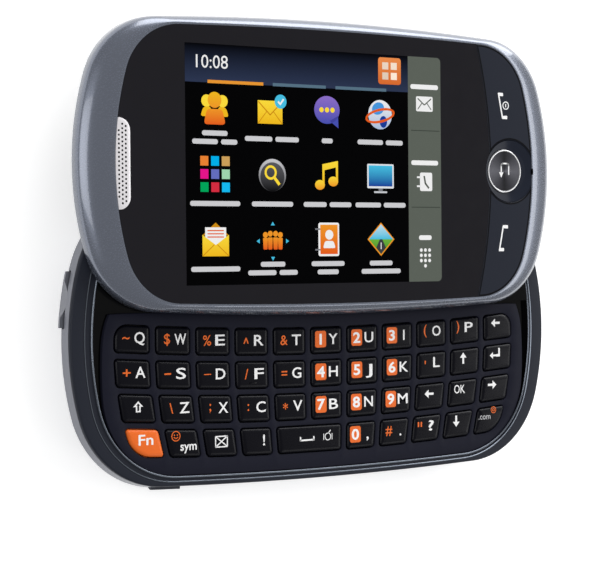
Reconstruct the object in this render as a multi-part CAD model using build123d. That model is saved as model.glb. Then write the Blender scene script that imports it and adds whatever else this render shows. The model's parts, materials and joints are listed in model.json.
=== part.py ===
from build123d import *
import os
from math import radians, tan

# Side-sliding phone with a touch screen and a four-row keyboard.
# Millimetres. The phone lies on its back, with the screen up (+Z).
# +X runs along the long side, and +Y is the way the screen slides open.
# The origin is the centre of the base's flat back face.
# The phone is modelled open, as it rests in use.

# ---------------------------------------------------------------- base outline
BASE_LENGTH = 107.7
BASE_WIDTH = 54.2
BASE_END_RADIUS = 50.4
BASE_SIDE_RADIUS = 900.0
BASE_CORNER_RADIUS = 17.8
BASE_THICK = 9.1
BASE_WIDEST_Z = 6.3
FLANK_TAPER = 28.0
SHOULDER_TAPER = 10.0
BACK_EDGE_RADIUS = 4.0
SHOULDER_CHAMFER = 0.45
SHELL_DROP = 0.9

# -------------------------------------------------------------- slider outline
SLIDER_LENGTH = 106.4
SLIDER_WIDTH = 54.4
SLIDER_END_RADIUS = 53.0
SLIDER_SIDE_RADIUS = 600.0
SLIDER_CORNER_RADIUS = 14.5
SLIDER_THICK = 4.5
RIDGE_DROP = 1.9
RIDGE_ROUND = 0.5
RIDGE_SECTIONS = ((0.0, -1.0), (0.24, -0.24), (0.9, 0.4))
UNDERSIDE_CHAMFER = 0.3
TRAVEL = 31.0
SLIDE_GAP = 0.2
SLIDER_X = 0.0

# -------------------------------------------------------------- window outline
WINDOW_LENGTH = 93.9
WINDOW_WIDTH = 50.2
WINDOW_END_RADIUS = 58.5
WINDOW_SIDE_RADIUS = 1000.0
WINDOW_CORNER_RADIUS = 11.4
WINDOW_THICK = 1.0
WINDOW_RIM = 0.25
WINDOW_RIM_DROP = 0.06
WINDOW_FIT = 0.03
WINDOW_FLOOR = 0.4

# -------------------------------------------------------------------- display
DISPLAY_SIZE = (60.4, 46.0, 1.8)
DISPLAY_X = -4.5
DISPLAY_FIT = 0.1

# ---------------------------------------------------------------- front keys
FRONT_SPLIT_X = 36.1
FRONT_SPLIT_RADIUS = 94.0
FRONT_KEY_THICK = 0.7
FRONT_KEY_GAP = 0.1
FRONT_KEY_CHAMFER = 0.1
FRONT_STEM_RADIUS = 0.9
FRONT_STEM_LENGTH = 1.0
CALL_STEM_PLACE = (40.2, 14.0)
DISH_DEPTH = 0.35
DISH_EDGE_DROP = 0.05
BACK_KEY_X = 39.9
BACK_KEY_RADIUS = 4.2
DISH_SHIFT = 1.4
DISH_MARGIN = 1.85
BACK_RING_WIDTH = 0.38
BACK_RING_HEIGHT = 0.08
MOUTHPIECE_SIZE = (0.8, 1.3, 0.6)

# ------------------------------------------------------------ earpiece grille
GRILLE_X = (-46.8, -44.05)
GRILLE_Y = (-8.1, 7.8)
GRILLE_CORNER = 2.2
GRILLE_PROUD = 0.05
GRILLE_HOLE_RADIUS = 0.19
GRILLE_COLUMN_PITCH = 0.64
GRILLE_ROW_PITCH = 0.8
GRILLE_HOLE_COLUMNS = 3
GRILLE_HOLE_SIDES = 4
GRILLE_HOLE_MARGIN = (1.0, 1.1)

# ------------------------------------------------------------- slider inside
BEZEL_WALL = 1.6
BEZEL_WALL_HEIGHT = 2.1
SLIDER_BACK_THICK = 1.6
SLIDER_BACK_FIT = 0.05
CHANNEL_HALF_WIDTH = 22.1
CHANNEL_LIP_WIDTH = 2.1
CHANNEL_LIP_THICK = 0.6
CHANNEL_ROOF_THICK = 0.3
GUIDE_CLEARANCE = 0.1
GUIDE_END_GAP = 0.3
GUIDE_WINDOW = (26.0, 11.0)
GUIDE_WINDOW_CORNER = 2.0

# -------------------------------------------------------------- deck and trim
RIM_WALL = 1.1
DECK_FIT = 0.03
DECK_THICK = 2.0
KEYBOARD_X = 0.35
BEAD_LENGTH = 100.6
BEAD_WIDTH = 51.6
BEAD_END_RADIUS = 52.6
BEAD_SIDE_RADIUS = 900.0
BEAD_CORNER_RADIUS = 17.3
BEAD_THICK = 0.85
GROOVE_WIDTH = 0.35
GROOVE_DEPTH = 0.35
RECESS_DEPTH = 1.1
RECESS_TOP_Y = 5.4
LEDGE_WIDTH = 0.9

# ------------------------------------------------------------------- keypad
PANEL_X = 0.6
PANEL_LENGTH = 95.8
PANEL_END_RADIUS = 66.0
PANEL_WAIST_Y = -5.5
PANEL_CORNER_RADIUS = 15.0
PANEL_TOP_Y = 4.9
PANEL_TOP_CORNER = 3.3
PANEL_THICK = 1.25
PANEL_DROP = 0.35
PANEL_FIT = 0.03
ROW_TOP_Y = -1.15
ROW_PITCH = 6.1
ROW_BOW = 1.75
COLUMN_PITCH = (8.32, 8.3, 8.13, 7.83)
COLUMN_LEAN = (0.0, 0.06, 0.16, 0.26)
COLUMNS = 11
WEB_X = 1.05
WEB_Y = 0.95
KEY_GAP = 0.2
KEY_CORNER = 0.5
KEY_BIG_TOP_CORNER = 2.8
KEY_BIG_LOW_CORNER = 3.6
KEY_CHAMFER = 0.3
KEY_FLANGE = 0.32
KEY_FLANGE_THICK = 0.4
KEY_FLANGE_GAP = 0.1
KEY_TRAVEL = 0.3
KEY_MAT_GAP = 0.1
KEY_MAT_FIT = 0.3
HOMING_BAR = (1.5, 0.25, 0.1)

KEY_ROWS = (
    ("q", "w", "e", "r", "t", "y", "u", "i", "o", "p", "backspace"),
    ("a", "s", "d", "f", "g", "h", "j", "k", "l", "up", "enter"),
    ("shift", "z", "x", "c", "v", "b", "n", "m", "left", "ok", "right"),
    ("fn", "sym", "mail", "exclamation", "space", "comma", "period", "quote", "down", "at"),
)
WIDE_KEYS = {"space": 2}
HOMING_KEYS = ("f", "j")

# ---------------------------------------------------------------- side keys
ROCKER_Y = 7.45
ROCKER_LENGTH = 9.8
ROCKER_Z = (3.9, 6.7)
ROCKER_DEPTH = 2.0
ROCKER_PROUD = 0.65
ROCKER_SADDLE = 1.1
ROCKER_SADDLE_LENGTH = 6.8
ROCKER_END_GAP = 0.15
ROCKER_SIDE_GAP = 0.3
ROCKER_SWING_ROOM = 0.45
SIDE_KEY_X = -33.5
SIDE_KEY_LENGTH = 6.0
SIDE_KEY_Z = (3.9, 6.7)
SIDE_KEY_DEPTH = 1.8
SIDE_KEY_PROUD = 0.45
SIDE_KEY_GAP = 0.12
SIDE_KEY_ROOM = 0.4

# ------------------------------------------------------------- base inside
BOARD_BAY_INSET = 3.2
BOARD_THICK = 0.8
BOARD_TOP_BELOW_DECK = 3.0
BOARD_FIT = 0.4
BATTERY_SIZE = (54.0, 34.0, 3.9)
BATTERY_CORNER = 1.2
BATTERY_FIT = 0.25
COVER_THICK = 0.9
COVER_SIZE = (68.0, 37.0)
COVER_CORNER = 5.0
COVER_GAP = 0.08
COVER_NOTCH_RADIUS = 6.0
COVER_NOTCH_DEPTH = 0.5
WELL_X = 36.0
WELL_SIZE = (14.0, 30.0)
WELL_FLOOR = 1.0
WELL_CORNER = 3.0
CAMERA_PLACE = (-38.6, 10.6)
CAMERA_RADIUS = 3.2
CAMERA_GAP = 0.08
CAMERA_LENS_RADIUS = 1.6
CAMERA_LENS_DEPTH = 0.4
SPEAKER_SIZE = (9.0, 13.0, 3.0)
SPEAKER_PLACE = (37.4, -6.0)
SPEAKER_SLOT_X = 38.4
SPEAKER_SLOT = (6.0, 0.9)
SPEAKER_SLOT_PITCH = 2.0
SPEAKER_SLOTS = 4
SHIELD_SIZE = (11.0, 12.0, 1.6)
SHIELD_PLACE = (-36.0, -6.0)

# ------------------------------------------------------------ heights from Z=0
DECK_Z = BASE_THICK
DECK_SEAT_Z = DECK_Z - DECK_THICK
SHELL_TOP_Z = DECK_Z - SHELL_DROP
SHOULDER_INSET = (SHELL_TOP_Z - BASE_WIDEST_Z) * tan(radians(SHOULDER_TAPER))
RECESS_Z = DECK_Z - RECESS_DEPTH
PANEL_TOP_Z = DECK_Z - PANEL_DROP
PANEL_SEAT_Z = PANEL_TOP_Z - PANEL_THICK
KEY_TOP_Z = DECK_Z
FLANGE_TOP_Z = PANEL_SEAT_Z - KEY_FLANGE_GAP
FLANGE_LOW_Z = FLANGE_TOP_Z - KEY_FLANGE_THICK
BOARD_TOP_Z = DECK_Z - BOARD_TOP_BELOW_DECK
BOARD_LOW_Z = BOARD_TOP_Z - BOARD_THICK
SLIDER_LOW_Z = DECK_Z + SLIDE_GAP
SLIDER_TOP_Z = SLIDER_LOW_Z + SLIDER_THICK
RIDGE_Z = SLIDER_TOP_Z - RIDGE_DROP
WINDOW_SEAT_Z = SLIDER_TOP_Z - WINDOW_THICK
WINDOW_FLOOR_Z = WINDOW_SEAT_Z - WINDOW_FLOOR
BEZEL_CAVITY_Z = SLIDER_LOW_Z + BEZEL_WALL_HEIGHT
SLIDER_BACK_TOP_Z = SLIDER_LOW_Z + SLIDER_BACK_THICK
LIP_TOP_Z = SLIDER_LOW_Z + CHANNEL_LIP_THICK
CHANNEL_ROOF_Z = SLIDER_BACK_TOP_Z - CHANNEL_ROOF_THICK
FRONT_KEY_LOW_Z = SLIDER_TOP_Z - FRONT_KEY_THICK
KEY_MAT_TOP_Z = FLANGE_LOW_Z - KEY_TRAVEL - KEY_MAT_GAP
TINY = 0.01
PAST = 1.0


def plan(length, width, end_radius, side_radius, corner_radius, inset=0.0):
    """Plan outline with two bowed ends, two nearly straight sides and round corners."""
    end_shift = length / 2 - end_radius
    side_shift = width / 2 - side_radius
    half = Pos(length / 2, 0) * Rectangle(length, 2 * end_radius)
    right = Pos(end_shift, 0) * Circle(end_radius - inset) & half
    ends = right + mirror(right, about=Plane.YZ)
    upper = Pos(0, side_shift) * Circle(side_radius - inset)
    lower = Pos(0, -side_shift) * Circle(side_radius - inset)
    face = ends & upper & lower
    return fillet(face.vertices(), corner_radius - inset)


def base_plan(inset=0.0):
    """Outline of the base where it is widest."""
    return plan(BASE_LENGTH, BASE_WIDTH, BASE_END_RADIUS, BASE_SIDE_RADIUS,
                BASE_CORNER_RADIUS, inset)


def slider_plan(inset=0.0):
    """Outline of the slider."""
    return plan(SLIDER_LENGTH, SLIDER_WIDTH, SLIDER_END_RADIUS, SLIDER_SIDE_RADIUS,
                SLIDER_CORNER_RADIUS, inset)


def window_plan(inset=0.0):
    """Outline of the black front, keys included."""
    return plan(WINDOW_LENGTH, WINDOW_WIDTH, WINDOW_END_RADIUS, WINDOW_SIDE_RADIUS,
                WINDOW_CORNER_RADIUS, inset)


def bead_plan(inset=0.0):
    """Outer outline of the bright bead round the keypad."""
    return Pos(KEYBOARD_X, 0) * plan(BEAD_LENGTH, BEAD_WIDTH, BEAD_END_RADIUS,
                                     BEAD_SIDE_RADIUS, BEAD_CORNER_RADIUS, inset)


def panel_plan(inset=0.0):
    """Outline of the keypad panel: bulged ends, square top with small corners."""
    width = BEAD_WIDTH - 2 * BEAD_THICK + 2 * PANEL_WAIST_Y
    outline = Pos(PANEL_X, PANEL_WAIST_Y) * plan(PANEL_LENGTH, width, PANEL_END_RADIUS,
                                                 BEAD_SIDE_RADIUS, PANEL_CORNER_RADIUS, inset)
    below = Pos(0, PANEL_TOP_Y - inset - BASE_WIDTH) * Rectangle(BASE_LENGTH, 2 * BASE_WIDTH)
    face = outline & below
    top = face.vertices().sort_by(Axis.Y)[-2:]
    face = fillet(top, PANEL_TOP_CORNER - inset)
    return face


def slab(face, low, high):
    """Straight prism of a flat outline between two heights."""
    return Pos(0, 0, low) * extrude(face, high - low)


def box_between(x_range, y_range, z_range):
    """Box given by its limits."""
    middle = [(r[0] + r[1]) / 2 for r in (x_range, y_range, z_range)]
    sizes = [r[1] - r[0] for r in (x_range, y_range, z_range)]
    return Pos(*middle) * Box(*sizes)


def edges_at(part, height):
    """Edges that lie flat at one height."""
    return part.edges().filter_by(
        lambda edge: abs(edge.bounding_box().min.Z - height) < TINY
        and abs(edge.bounding_box().max.Z - height) < TINY)


# --------------------------------------------------------------------- keypad
def row_y(row):
    """Middle height of a key row, on the phone's centre line."""
    return ROW_TOP_Y - ROW_PITCH * row


def bowed(x, y):
    """Point moved up onto its row's smile-shaped arc."""
    half = COLUMN_PITCH[0] * COLUMNS / 2
    return (KEYBOARD_X + x, y + ROW_BOW * (x / half) ** 2)


def key_outline(name, row, column, span, inset):
    """Outline of one key, moved in by inset from its opening in the panel."""
    radii = [KEY_CORNER] * 4
    if row == 0 and column == 0:
        radii[3] = KEY_BIG_TOP_CORNER
    if row == 0 and column == COLUMNS - 1:
        radii[2] = KEY_BIG_TOP_CORNER
    if row == len(KEY_ROWS) - 1 and column == 0:
        radii[0] = KEY_BIG_LOW_CORNER
    if row == len(KEY_ROWS) - 1 and column == COLUMNS - 1:
        radii[1] = KEY_BIG_LOW_CORNER
    first = column - COLUMNS / 2
    last = first + span
    lean = COLUMN_LEAN[row] / 2
    low_pitch = COLUMN_PITCH[row] - lean
    high_pitch = COLUMN_PITCH[row] + lean
    side = WEB_X / 2 + inset
    rise = (ROW_PITCH - WEB_Y) / 2 - inset
    corners = (
        bowed(first * low_pitch + side, row_y(row) - rise),
        bowed(last * low_pitch - side, row_y(row) - rise),
        bowed(last * high_pitch - side, row_y(row) + rise),
        bowed(first * high_pitch + side, row_y(row) + rise),
    )
    face = Polygon(*corners, align=None)
    for corner, radius in zip(corners, radii):
        near = face.vertices().sort_by_distance((*corner, 0))[0]
        if radius > KEY_CORNER:
            face = fillet(near, radius - inset)
        elif inset >= 0:
            face = chamfer(near, KEY_CORNER)
    return face


def key_places():
    """Every key as name, row, first column and number of columns."""
    places = []
    for row, names in enumerate(KEY_ROWS):
        column = 0
        for name in names:
            span = WIDE_KEYS.get(name, 1)
            places.append((name, row, column, span))
            column += span
    return places


def keyboard_key(name, row, column, span):
    """Key cap with a chamfered top and a flange that holds it under the panel."""
    cap = slab(key_outline(name, row, column, span, KEY_GAP), FLANGE_LOW_Z, KEY_TOP_Z)
    cap = chamfer(edges_at(cap, KEY_TOP_Z), KEY_CHAMFER)
    flange = slab(key_outline(name, row, column, span, -KEY_FLANGE), FLANGE_LOW_Z, FLANGE_TOP_Z)
    key = cap + flange
    if name in HOMING_KEYS:
        length, width, height = HOMING_BAR
        x, y = bowed((column + span / 2 - COLUMNS / 2) * COLUMN_PITCH[row], row_y(row))
        y += KEY_GAP + KEY_CHAMFER + width - (ROW_PITCH - WEB_Y) / 2
        key += Pos(x, y, KEY_TOP_Z) * Box(length, width, 2 * height)
    return key


def keypad_panel():
    """Matte panel with one opening for each key."""
    panel = slab(panel_plan(PANEL_FIT), PANEL_SEAT_Z, PANEL_TOP_Z)
    openings = [slab(key_outline(*place, 0.0), PANEL_SEAT_Z - PAST, PANEL_TOP_Z + PAST)
                for place in key_places()]
    return panel - openings


def deck_band():
    """Slate band, groove, bright bead and sunk floor round the keypad."""
    deck = slab(base_plan(SHOULDER_INSET), SHELL_TOP_Z, DECK_Z)
    deck = chamfer(edges_at(deck, DECK_Z), SHOULDER_CHAMFER)
    deck += slab(base_plan(RIM_WALL + DECK_FIT), DECK_SEAT_Z, SHELL_TOP_Z)
    sunk = bead_plan(BEAD_THICK) & Pos(0, RECESS_TOP_Y - BASE_WIDTH) * Rectangle(
        BASE_LENGTH, 2 * BASE_WIDTH)
    deck -= slab(sunk, RECESS_Z, DECK_Z + PAST)
    deck -= slab(panel_plan(), PANEL_SEAT_Z, DECK_Z)
    deck -= slab(panel_plan(LEDGE_WIDTH), DECK_SEAT_Z - PAST, DECK_Z)
    groove = bead_plan(-GROOVE_WIDTH) - bead_plan()
    return deck - slab(groove, DECK_Z - GROOVE_DEPTH, DECK_Z + PAST)


# ----------------------------------------------------------------------- base
def base_block(grow=0.0):
    """Outer form of the base: widest at a crease, tapered up to the deck and down to the back."""
    upper = extrude(Pos(0, 0, BASE_WIDEST_Z) * base_plan(-grow),
                    amount=SHELL_TOP_Z - BASE_WIDEST_Z, taper=SHOULDER_TAPER)
    lower = extrude(Pos(0, 0, BASE_WIDEST_Z) * base_plan(-grow), amount=BASE_WIDEST_Z,
                    dir=(0, 0, -1), taper=FLANK_TAPER)
    return upper + lower


def rocker_block(gap_y, gap_z):
    """Space of the volume rocker, or its pocket with gaps."""
    half = ROCKER_LENGTH / 2 + gap_y
    return box_between((-BASE_LENGTH, 0), (ROCKER_Y - half, ROCKER_Y + half),
                       (ROCKER_Z[0] - gap_z, ROCKER_Z[1] + gap_z))


def side_key_block(gap):
    """Space of the side key, or its pocket with gaps."""
    half = SIDE_KEY_LENGTH / 2 + gap
    return box_between((SIDE_KEY_X - half, SIDE_KEY_X + half), (-BASE_WIDTH, 0),
                       (SIDE_KEY_Z[0] - gap, SIDE_KEY_Z[1] + gap))


def battery_bay():
    """Space of the battery with its clearance, open to the back."""
    length, width, thick = BATTERY_SIZE
    bay = RectangleRounded(length + 2 * BATTERY_FIT, width + 2 * BATTERY_FIT,
                           BATTERY_CORNER + BATTERY_FIT)
    return slab(bay, -PAST, COVER_THICK + thick + BATTERY_FIT)


def wells():
    """Two wells beside the battery for what hangs under the board."""
    well = RectangleRounded(*WELL_SIZE, WELL_CORNER)
    return [Pos(side * WELL_X, 0, 0) * slab(well, WELL_FLOOR, BOARD_LOW_Z) for side in (-1, 1)]


def speaker_slots():
    """Slots in the back over the loudspeaker."""
    first = -(SPEAKER_SLOTS - 1) / 2
    slot = slab(SlotOverall(*SPEAKER_SLOT), -PAST, WELL_FLOOR + PAST)
    return [Pos(SPEAKER_SLOT_X, SPEAKER_PLACE[1] + (first + i) * SPEAKER_SLOT_PITCH, 0) * slot
            for i in range(SPEAKER_SLOTS)]


def cover_plan(grow=0.0):
    """Outline of the battery cover."""
    return RectangleRounded(COVER_SIZE[0] + 2 * grow, COVER_SIZE[1] + 2 * grow,
                            COVER_CORNER + grow)


def base_housing():
    """Moulded housing: deck seat, board bay, battery bay, wells and key pockets."""
    housing = base_block()
    housing = fillet(edges_at(housing, 0), BACK_EDGE_RADIUS)
    housing -= slab(base_plan(RIM_WALL), DECK_SEAT_Z, SHELL_TOP_Z + PAST)
    housing -= slab(base_plan(BOARD_BAY_INSET), BOARD_LOW_Z, DECK_SEAT_Z + TINY)
    housing -= battery_bay()
    housing -= slab(cover_plan(COVER_GAP), -PAST, COVER_THICK)
    housing -= wells()
    housing -= speaker_slots()
    eye = Pos(*CAMERA_PLACE, 0) * Circle(CAMERA_RADIUS + CAMERA_GAP)
    housing -= slab(eye, -PAST, WELL_FLOOR + PAST)
    rocker_core = base_block(-ROCKER_DEPTH - ROCKER_SWING_ROOM)
    housing -= rocker_block(ROCKER_END_GAP, ROCKER_SIDE_GAP) - rocker_core
    side_core = base_block(-SIDE_KEY_DEPTH - SIDE_KEY_ROOM)
    housing -= side_key_block(SIDE_KEY_GAP) - side_core
    return housing


def volume_rocker():
    """Rocker that follows the bowed end wall, raised at both ends like a saddle."""
    skin = base_block(ROCKER_PROUD) - base_block(-ROCKER_DEPTH)
    rocker = skin & rocker_block(0, 0)
    saddle_radius = ((ROCKER_SADDLE_LENGTH / 2) ** 2 + ROCKER_SADDLE ** 2) / (2 * ROCKER_SADDLE)
    end_shift = BASE_LENGTH / 2 - BASE_END_RADIUS
    reach = BASE_END_RADIUS + ROCKER_PROUD - ROCKER_SADDLE + saddle_radius
    drop = ROCKER_Y / BASE_END_RADIUS
    saddle_x = -end_shift - reach * (1 - drop ** 2) ** 0.5
    saddle = Pos(saddle_x, reach * drop) * Circle(saddle_radius)
    return rocker - slab(saddle, 0, BASE_THICK)


def side_key():
    """Small press key in the lower long edge."""
    skin = base_block(SIDE_KEY_PROUD) - base_block(-SIDE_KEY_DEPTH)
    return skin & side_key_block(0)


def battery_cover():
    """Flat cover, flush with the back, with a thumb notch."""
    cover = slab(cover_plan(), 0, COVER_THICK)
    notch = Pos(COVER_SIZE[0] / 2 - COVER_NOTCH_RADIUS, 0, -COVER_NOTCH_RADIUS + COVER_NOTCH_DEPTH)
    return cover - notch * Sphere(COVER_NOTCH_RADIUS)


def battery():
    """Flat battery pack on its cover."""
    length, width, thick = BATTERY_SIZE
    return slab(RectangleRounded(length, width, BATTERY_CORNER), COVER_THICK, COVER_THICK + thick)


def main_board():
    """Board with the key mat, a shield can, the loudspeaker and the camera."""
    board = slab(base_plan(BOARD_BAY_INSET + BOARD_FIT), BOARD_LOW_Z, BOARD_TOP_Z)
    mat = slab(panel_plan(LEDGE_WIDTH + KEY_MAT_FIT), BOARD_TOP_Z, KEY_MAT_TOP_Z)
    shield = Pos(*SHIELD_PLACE, BOARD_LOW_Z - SHIELD_SIZE[2] / 2) * Box(*SHIELD_SIZE)
    speaker = Pos(*SPEAKER_PLACE, BOARD_LOW_Z - SPEAKER_SIZE[2] / 2) * Box(*SPEAKER_SIZE)
    camera = slab(Circle(CAMERA_RADIUS), 0, BOARD_LOW_Z)
    camera -= slab(Circle(CAMERA_LENS_RADIUS), -PAST, CAMERA_LENS_DEPTH)
    return Compound([board, mat, shield, speaker, Pos(*CAMERA_PLACE, 0) * camera])


# --------------------------------------------------------------------- slider
def bezel_form():
    """Outer form: chamfered foot, upright wall, round ridge, slope up to the window."""
    sections = [Pos(0, 0, SLIDER_LOW_Z) * slider_plan(UNDERSIDE_CHAMFER),
                Pos(0, 0, SLIDER_LOW_Z + UNDERSIDE_CHAMFER) * slider_plan()]
    for inset, rise in RIDGE_SECTIONS:
        sections.append(Pos(0, 0, RIDGE_Z + rise * RIDGE_ROUND) * slider_plan(inset * RIDGE_ROUND))
    sections.append(Pos(0, 0, SLIDER_TOP_Z - WINDOW_RIM_DROP) * window_plan(-WINDOW_RIM))
    return loft([section.face() for section in sections], ruled=True)


def slider_frame():
    """Metallic frame round the window, with a shelf for the glass and the display."""
    frame = bezel_form()
    frame -= slab(window_plan(), WINDOW_SEAT_Z, SLIDER_TOP_Z + PAST)
    frame -= slab(slider_plan(BEZEL_WALL), SLIDER_LOW_Z - PAST, BEZEL_CAVITY_Z)
    frame -= slab(window_plan(BEZEL_WALL), SLIDER_BACK_TOP_Z, WINDOW_FLOOR_Z)
    length, width, thick = DISPLAY_SIZE
    opening = Pos(DISPLAY_X, 0) * Rectangle(length + 2 * DISPLAY_FIT, width + 2 * DISPLAY_FIT)
    frame -= slab(opening, WINDOW_SEAT_Z - thick, WINDOW_SEAT_Z + TINY)
    frame -= Pos(WINDOW_LENGTH / 2, 0, SLIDER_TOP_Z) * Box(*MOUTHPIECE_SIZE)
    for place in front_stems():
        hole = Pos(*place) * Circle(FRONT_STEM_RADIUS + FRONT_KEY_GAP)
        frame -= slab(hole, WINDOW_FLOOR_Z - PAST, WINDOW_SEAT_Z + TINY)
    return frame


def front_stems():
    """Places of the stems under the three front keys."""
    x, y = CALL_STEM_PLACE
    return [(x, y), (x, -y), (BACK_KEY_X, 0)]


def front_key_side(gap):
    """Everything to the right of the split line between window and front keys."""
    circle = Pos(FRONT_SPLIT_X - FRONT_SPLIT_RADIUS, 0) * Circle(FRONT_SPLIT_RADIUS + gap)
    return window_plan(WINDOW_FIT) - circle


def dish_circle(grow=0.0):
    """Round surround of the back key."""
    return Pos(BACK_KEY_X + DISH_SHIFT, 0) * Circle(BACK_KEY_RADIUS + DISH_MARGIN + grow)


def grille_plan(grow=0.0):
    """Outline of the earpiece plate, which ends at the window's edge."""
    size = (GRILLE_X[1] - GRILLE_X[0] + 2 * GRILLE_CORNER + grow,
            GRILLE_Y[1] - GRILLE_Y[0] + 2 * grow)
    middle = (GRILLE_X[1] + grow - size[0] / 2, (GRILLE_Y[0] + GRILLE_Y[1]) / 2)
    plate = Pos(*middle) * RectangleRounded(*size, GRILLE_CORNER)
    return plate & window_plan(WINDOW_FIT - min(grow, WINDOW_FIT))


def touch_window():
    """Black front window, and the dished surround of the back key."""
    face = window_plan(WINDOW_FIT) - front_key_side(0) - dish_circle(FRONT_KEY_GAP)
    face -= grille_plan(WINDOW_FIT)
    glass = slab(face, WINDOW_SEAT_Z, SLIDER_TOP_Z)
    ring = dish_circle() & window_plan(WINDOW_FIT)
    dish = slab(ring, WINDOW_SEAT_Z, SLIDER_TOP_Z - DISH_EDGE_DROP)
    bowl = Cone(BACK_KEY_RADIUS, BACK_KEY_RADIUS + DISH_MARGIN, DISH_DEPTH)
    bowl_z = SLIDER_TOP_Z - DISH_EDGE_DROP - DISH_DEPTH / 2
    dish -= Pos(BACK_KEY_X + DISH_SHIFT, 0, bowl_z) * bowl
    socket = Pos(BACK_KEY_X, 0) * Circle(BACK_KEY_RADIUS + FRONT_KEY_GAP)
    dish -= slab(socket, WINDOW_SEAT_Z - PAST, SLIDER_TOP_Z + PAST)
    return Compound([glass, dish])


def front_key(side):
    """End key (upper) or call key (lower), with its stem."""
    face = front_key_side(FRONT_KEY_GAP) - dish_circle(FRONT_KEY_GAP)
    piece = face.faces().sort_by(Axis.Y)[-1 if side > 0 else 0]
    cap = slab(piece, FRONT_KEY_LOW_Z, SLIDER_TOP_Z)
    cap = chamfer(edges_at(cap, SLIDER_TOP_Z), FRONT_KEY_CHAMFER)
    x, y = CALL_STEM_PLACE
    stem = Pos(x, side * y, FRONT_KEY_LOW_Z - FRONT_STEM_LENGTH / 2) * Cylinder(
        FRONT_STEM_RADIUS, FRONT_STEM_LENGTH)
    return cap + stem


def back_key():
    """Round key with a raised bright ring, in its dished surround."""
    top = SLIDER_TOP_Z - DISH_EDGE_DROP
    low = top - FRONT_KEY_THICK
    disc = slab(Circle(BACK_KEY_RADIUS), low, top)
    ring = Circle(BACK_KEY_RADIUS) - Circle(BACK_KEY_RADIUS - BACK_RING_WIDTH)
    disc += slab(ring, low, top + BACK_RING_HEIGHT)
    disc += slab(Circle(FRONT_STEM_RADIUS), low - FRONT_STEM_LENGTH, low)
    return Pos(BACK_KEY_X, 0, 0) * disc


def earpiece_grille():
    """Silver plate with staggered sound holes."""
    plate = slab(grille_plan(), WINDOW_SEAT_Z, SLIDER_TOP_Z + GRILLE_PROUD)
    hole = slab(RegularPolygon(GRILLE_HOLE_RADIUS, GRILLE_HOLE_SIDES),
                WINDOW_SEAT_Z - PAST, SLIDER_TOP_Z + PAST)
    rows = int((GRILLE_Y[1] - GRILLE_Y[0] - 2 * GRILLE_HOLE_MARGIN[1]) / GRILLE_ROW_PITCH)
    middle_y = (GRILLE_Y[0] + GRILLE_Y[1]) / 2
    holes = []
    for column in range(GRILLE_HOLE_COLUMNS):
        x = GRILLE_X[1] - GRILLE_HOLE_MARGIN[0] - column * GRILLE_COLUMN_PITCH
        count = rows + column % 2
        for i in range(count):
            y = middle_y + (i - (count - 1) / 2) * GRILLE_ROW_PITCH
            holes.append(Pos(x, y, 0) * hole)
    return plate - holes


def display_module():
    """Display under the window."""
    length, width, thick = DISPLAY_SIZE
    return Pos(DISPLAY_X, 0, WINDOW_SEAT_Z - thick / 2) * Box(length, width, thick)


def slider_back():
    """Lower half of the slider, with the channel and lips that hold the guide."""
    back = slab(slider_plan(BEZEL_WALL + SLIDER_BACK_FIT), SLIDER_LOW_Z, SLIDER_BACK_TOP_Z)
    inner = CHANNEL_HALF_WIDTH
    mouth = CHANNEL_HALF_WIDTH - CHANNEL_LIP_WIDTH
    back -= box_between((-inner, inner), (-SLIDER_WIDTH, SLIDER_WIDTH), (LIP_TOP_Z, CHANNEL_ROOF_Z))
    back -= box_between((-mouth, mouth), (-SLIDER_WIDTH, SLIDER_WIDTH),
                        (SLIDER_LOW_Z - PAST, LIP_TOP_Z + TINY))
    return back


def guide_reach():
    """Half of the channel's length at the guide's outer corners."""
    side_shift = SLIDER_WIDTH / 2 - SLIDER_SIDE_RADIUS
    radius = SLIDER_SIDE_RADIUS - BEZEL_WALL
    return side_shift + (radius ** 2 - CHANNEL_HALF_WIDTH ** 2) ** 0.5


def slide_guide():
    """Steel guide on the deck, whose edges run in the slider's channel."""
    reach = guide_reach() - GUIDE_END_GAP
    low_y = TRAVEL - reach
    inner = CHANNEL_HALF_WIDTH - GUIDE_CLEARANCE
    neck = inner - CHANNEL_LIP_WIDTH
    flange_z = (LIP_TOP_Z + GUIDE_CLEARANCE, CHANNEL_ROOF_Z - GUIDE_CLEARANCE)
    guide = box_between((-neck, neck), (low_y, reach), (DECK_Z, flange_z[1]))
    guide += box_between((-inner, inner), (low_y, reach), flange_z)
    middle = (low_y + reach) / 2
    window = Pos(0, middle) * RectangleRounded(*GUIDE_WINDOW, GUIDE_WINDOW_CORNER)
    return Pos(SLIDER_X, 0, 0) * (guide - slab(window, DECK_Z - PAST, SLIDER_BACK_TOP_Z))


def opened(part):
    """Slider piece moved to where it rests with the phone open."""
    return Pos(SLIDER_X, TRAVEL, 0) * part


pieces = {
    "base_housing": base_housing(),
    "deck_band": deck_band(),
    "keypad_panel": keypad_panel(),
    "battery_cover": battery_cover(),
    "battery": battery(),
    "main_board": main_board(),
    "volume_rocker": volume_rocker(),
    "side_key": side_key(),
    "slide_guide": slide_guide(),
    "slider_frame": opened(slider_frame()),
    "slider_back": opened(slider_back()),
    "touch_window": opened(touch_window()),
    "display_module": opened(display_module()),
    "earpiece_grille": opened(earpiece_grille()),
    "end_key": opened(front_key(1)),
    "call_key": opened(front_key(-1)),
    "back_key": opened(back_key()),
}
for place in key_places():
    pieces["key_" + place[0]] = keyboard_key(*place)

os.makedirs("parts", exist_ok=True)
for node, piece in pieces.items():
    export_step(piece, os.path.join("parts", node + ".step"))
print(len(pieces), "pieces")
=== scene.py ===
"""Visible pieces, finishes, light and camera of a side-sliding phone with a keyboard."""

import json
import math
from collections import namedtuple

import bmesh
import bpy
from mathutils import Matrix, Vector

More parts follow.
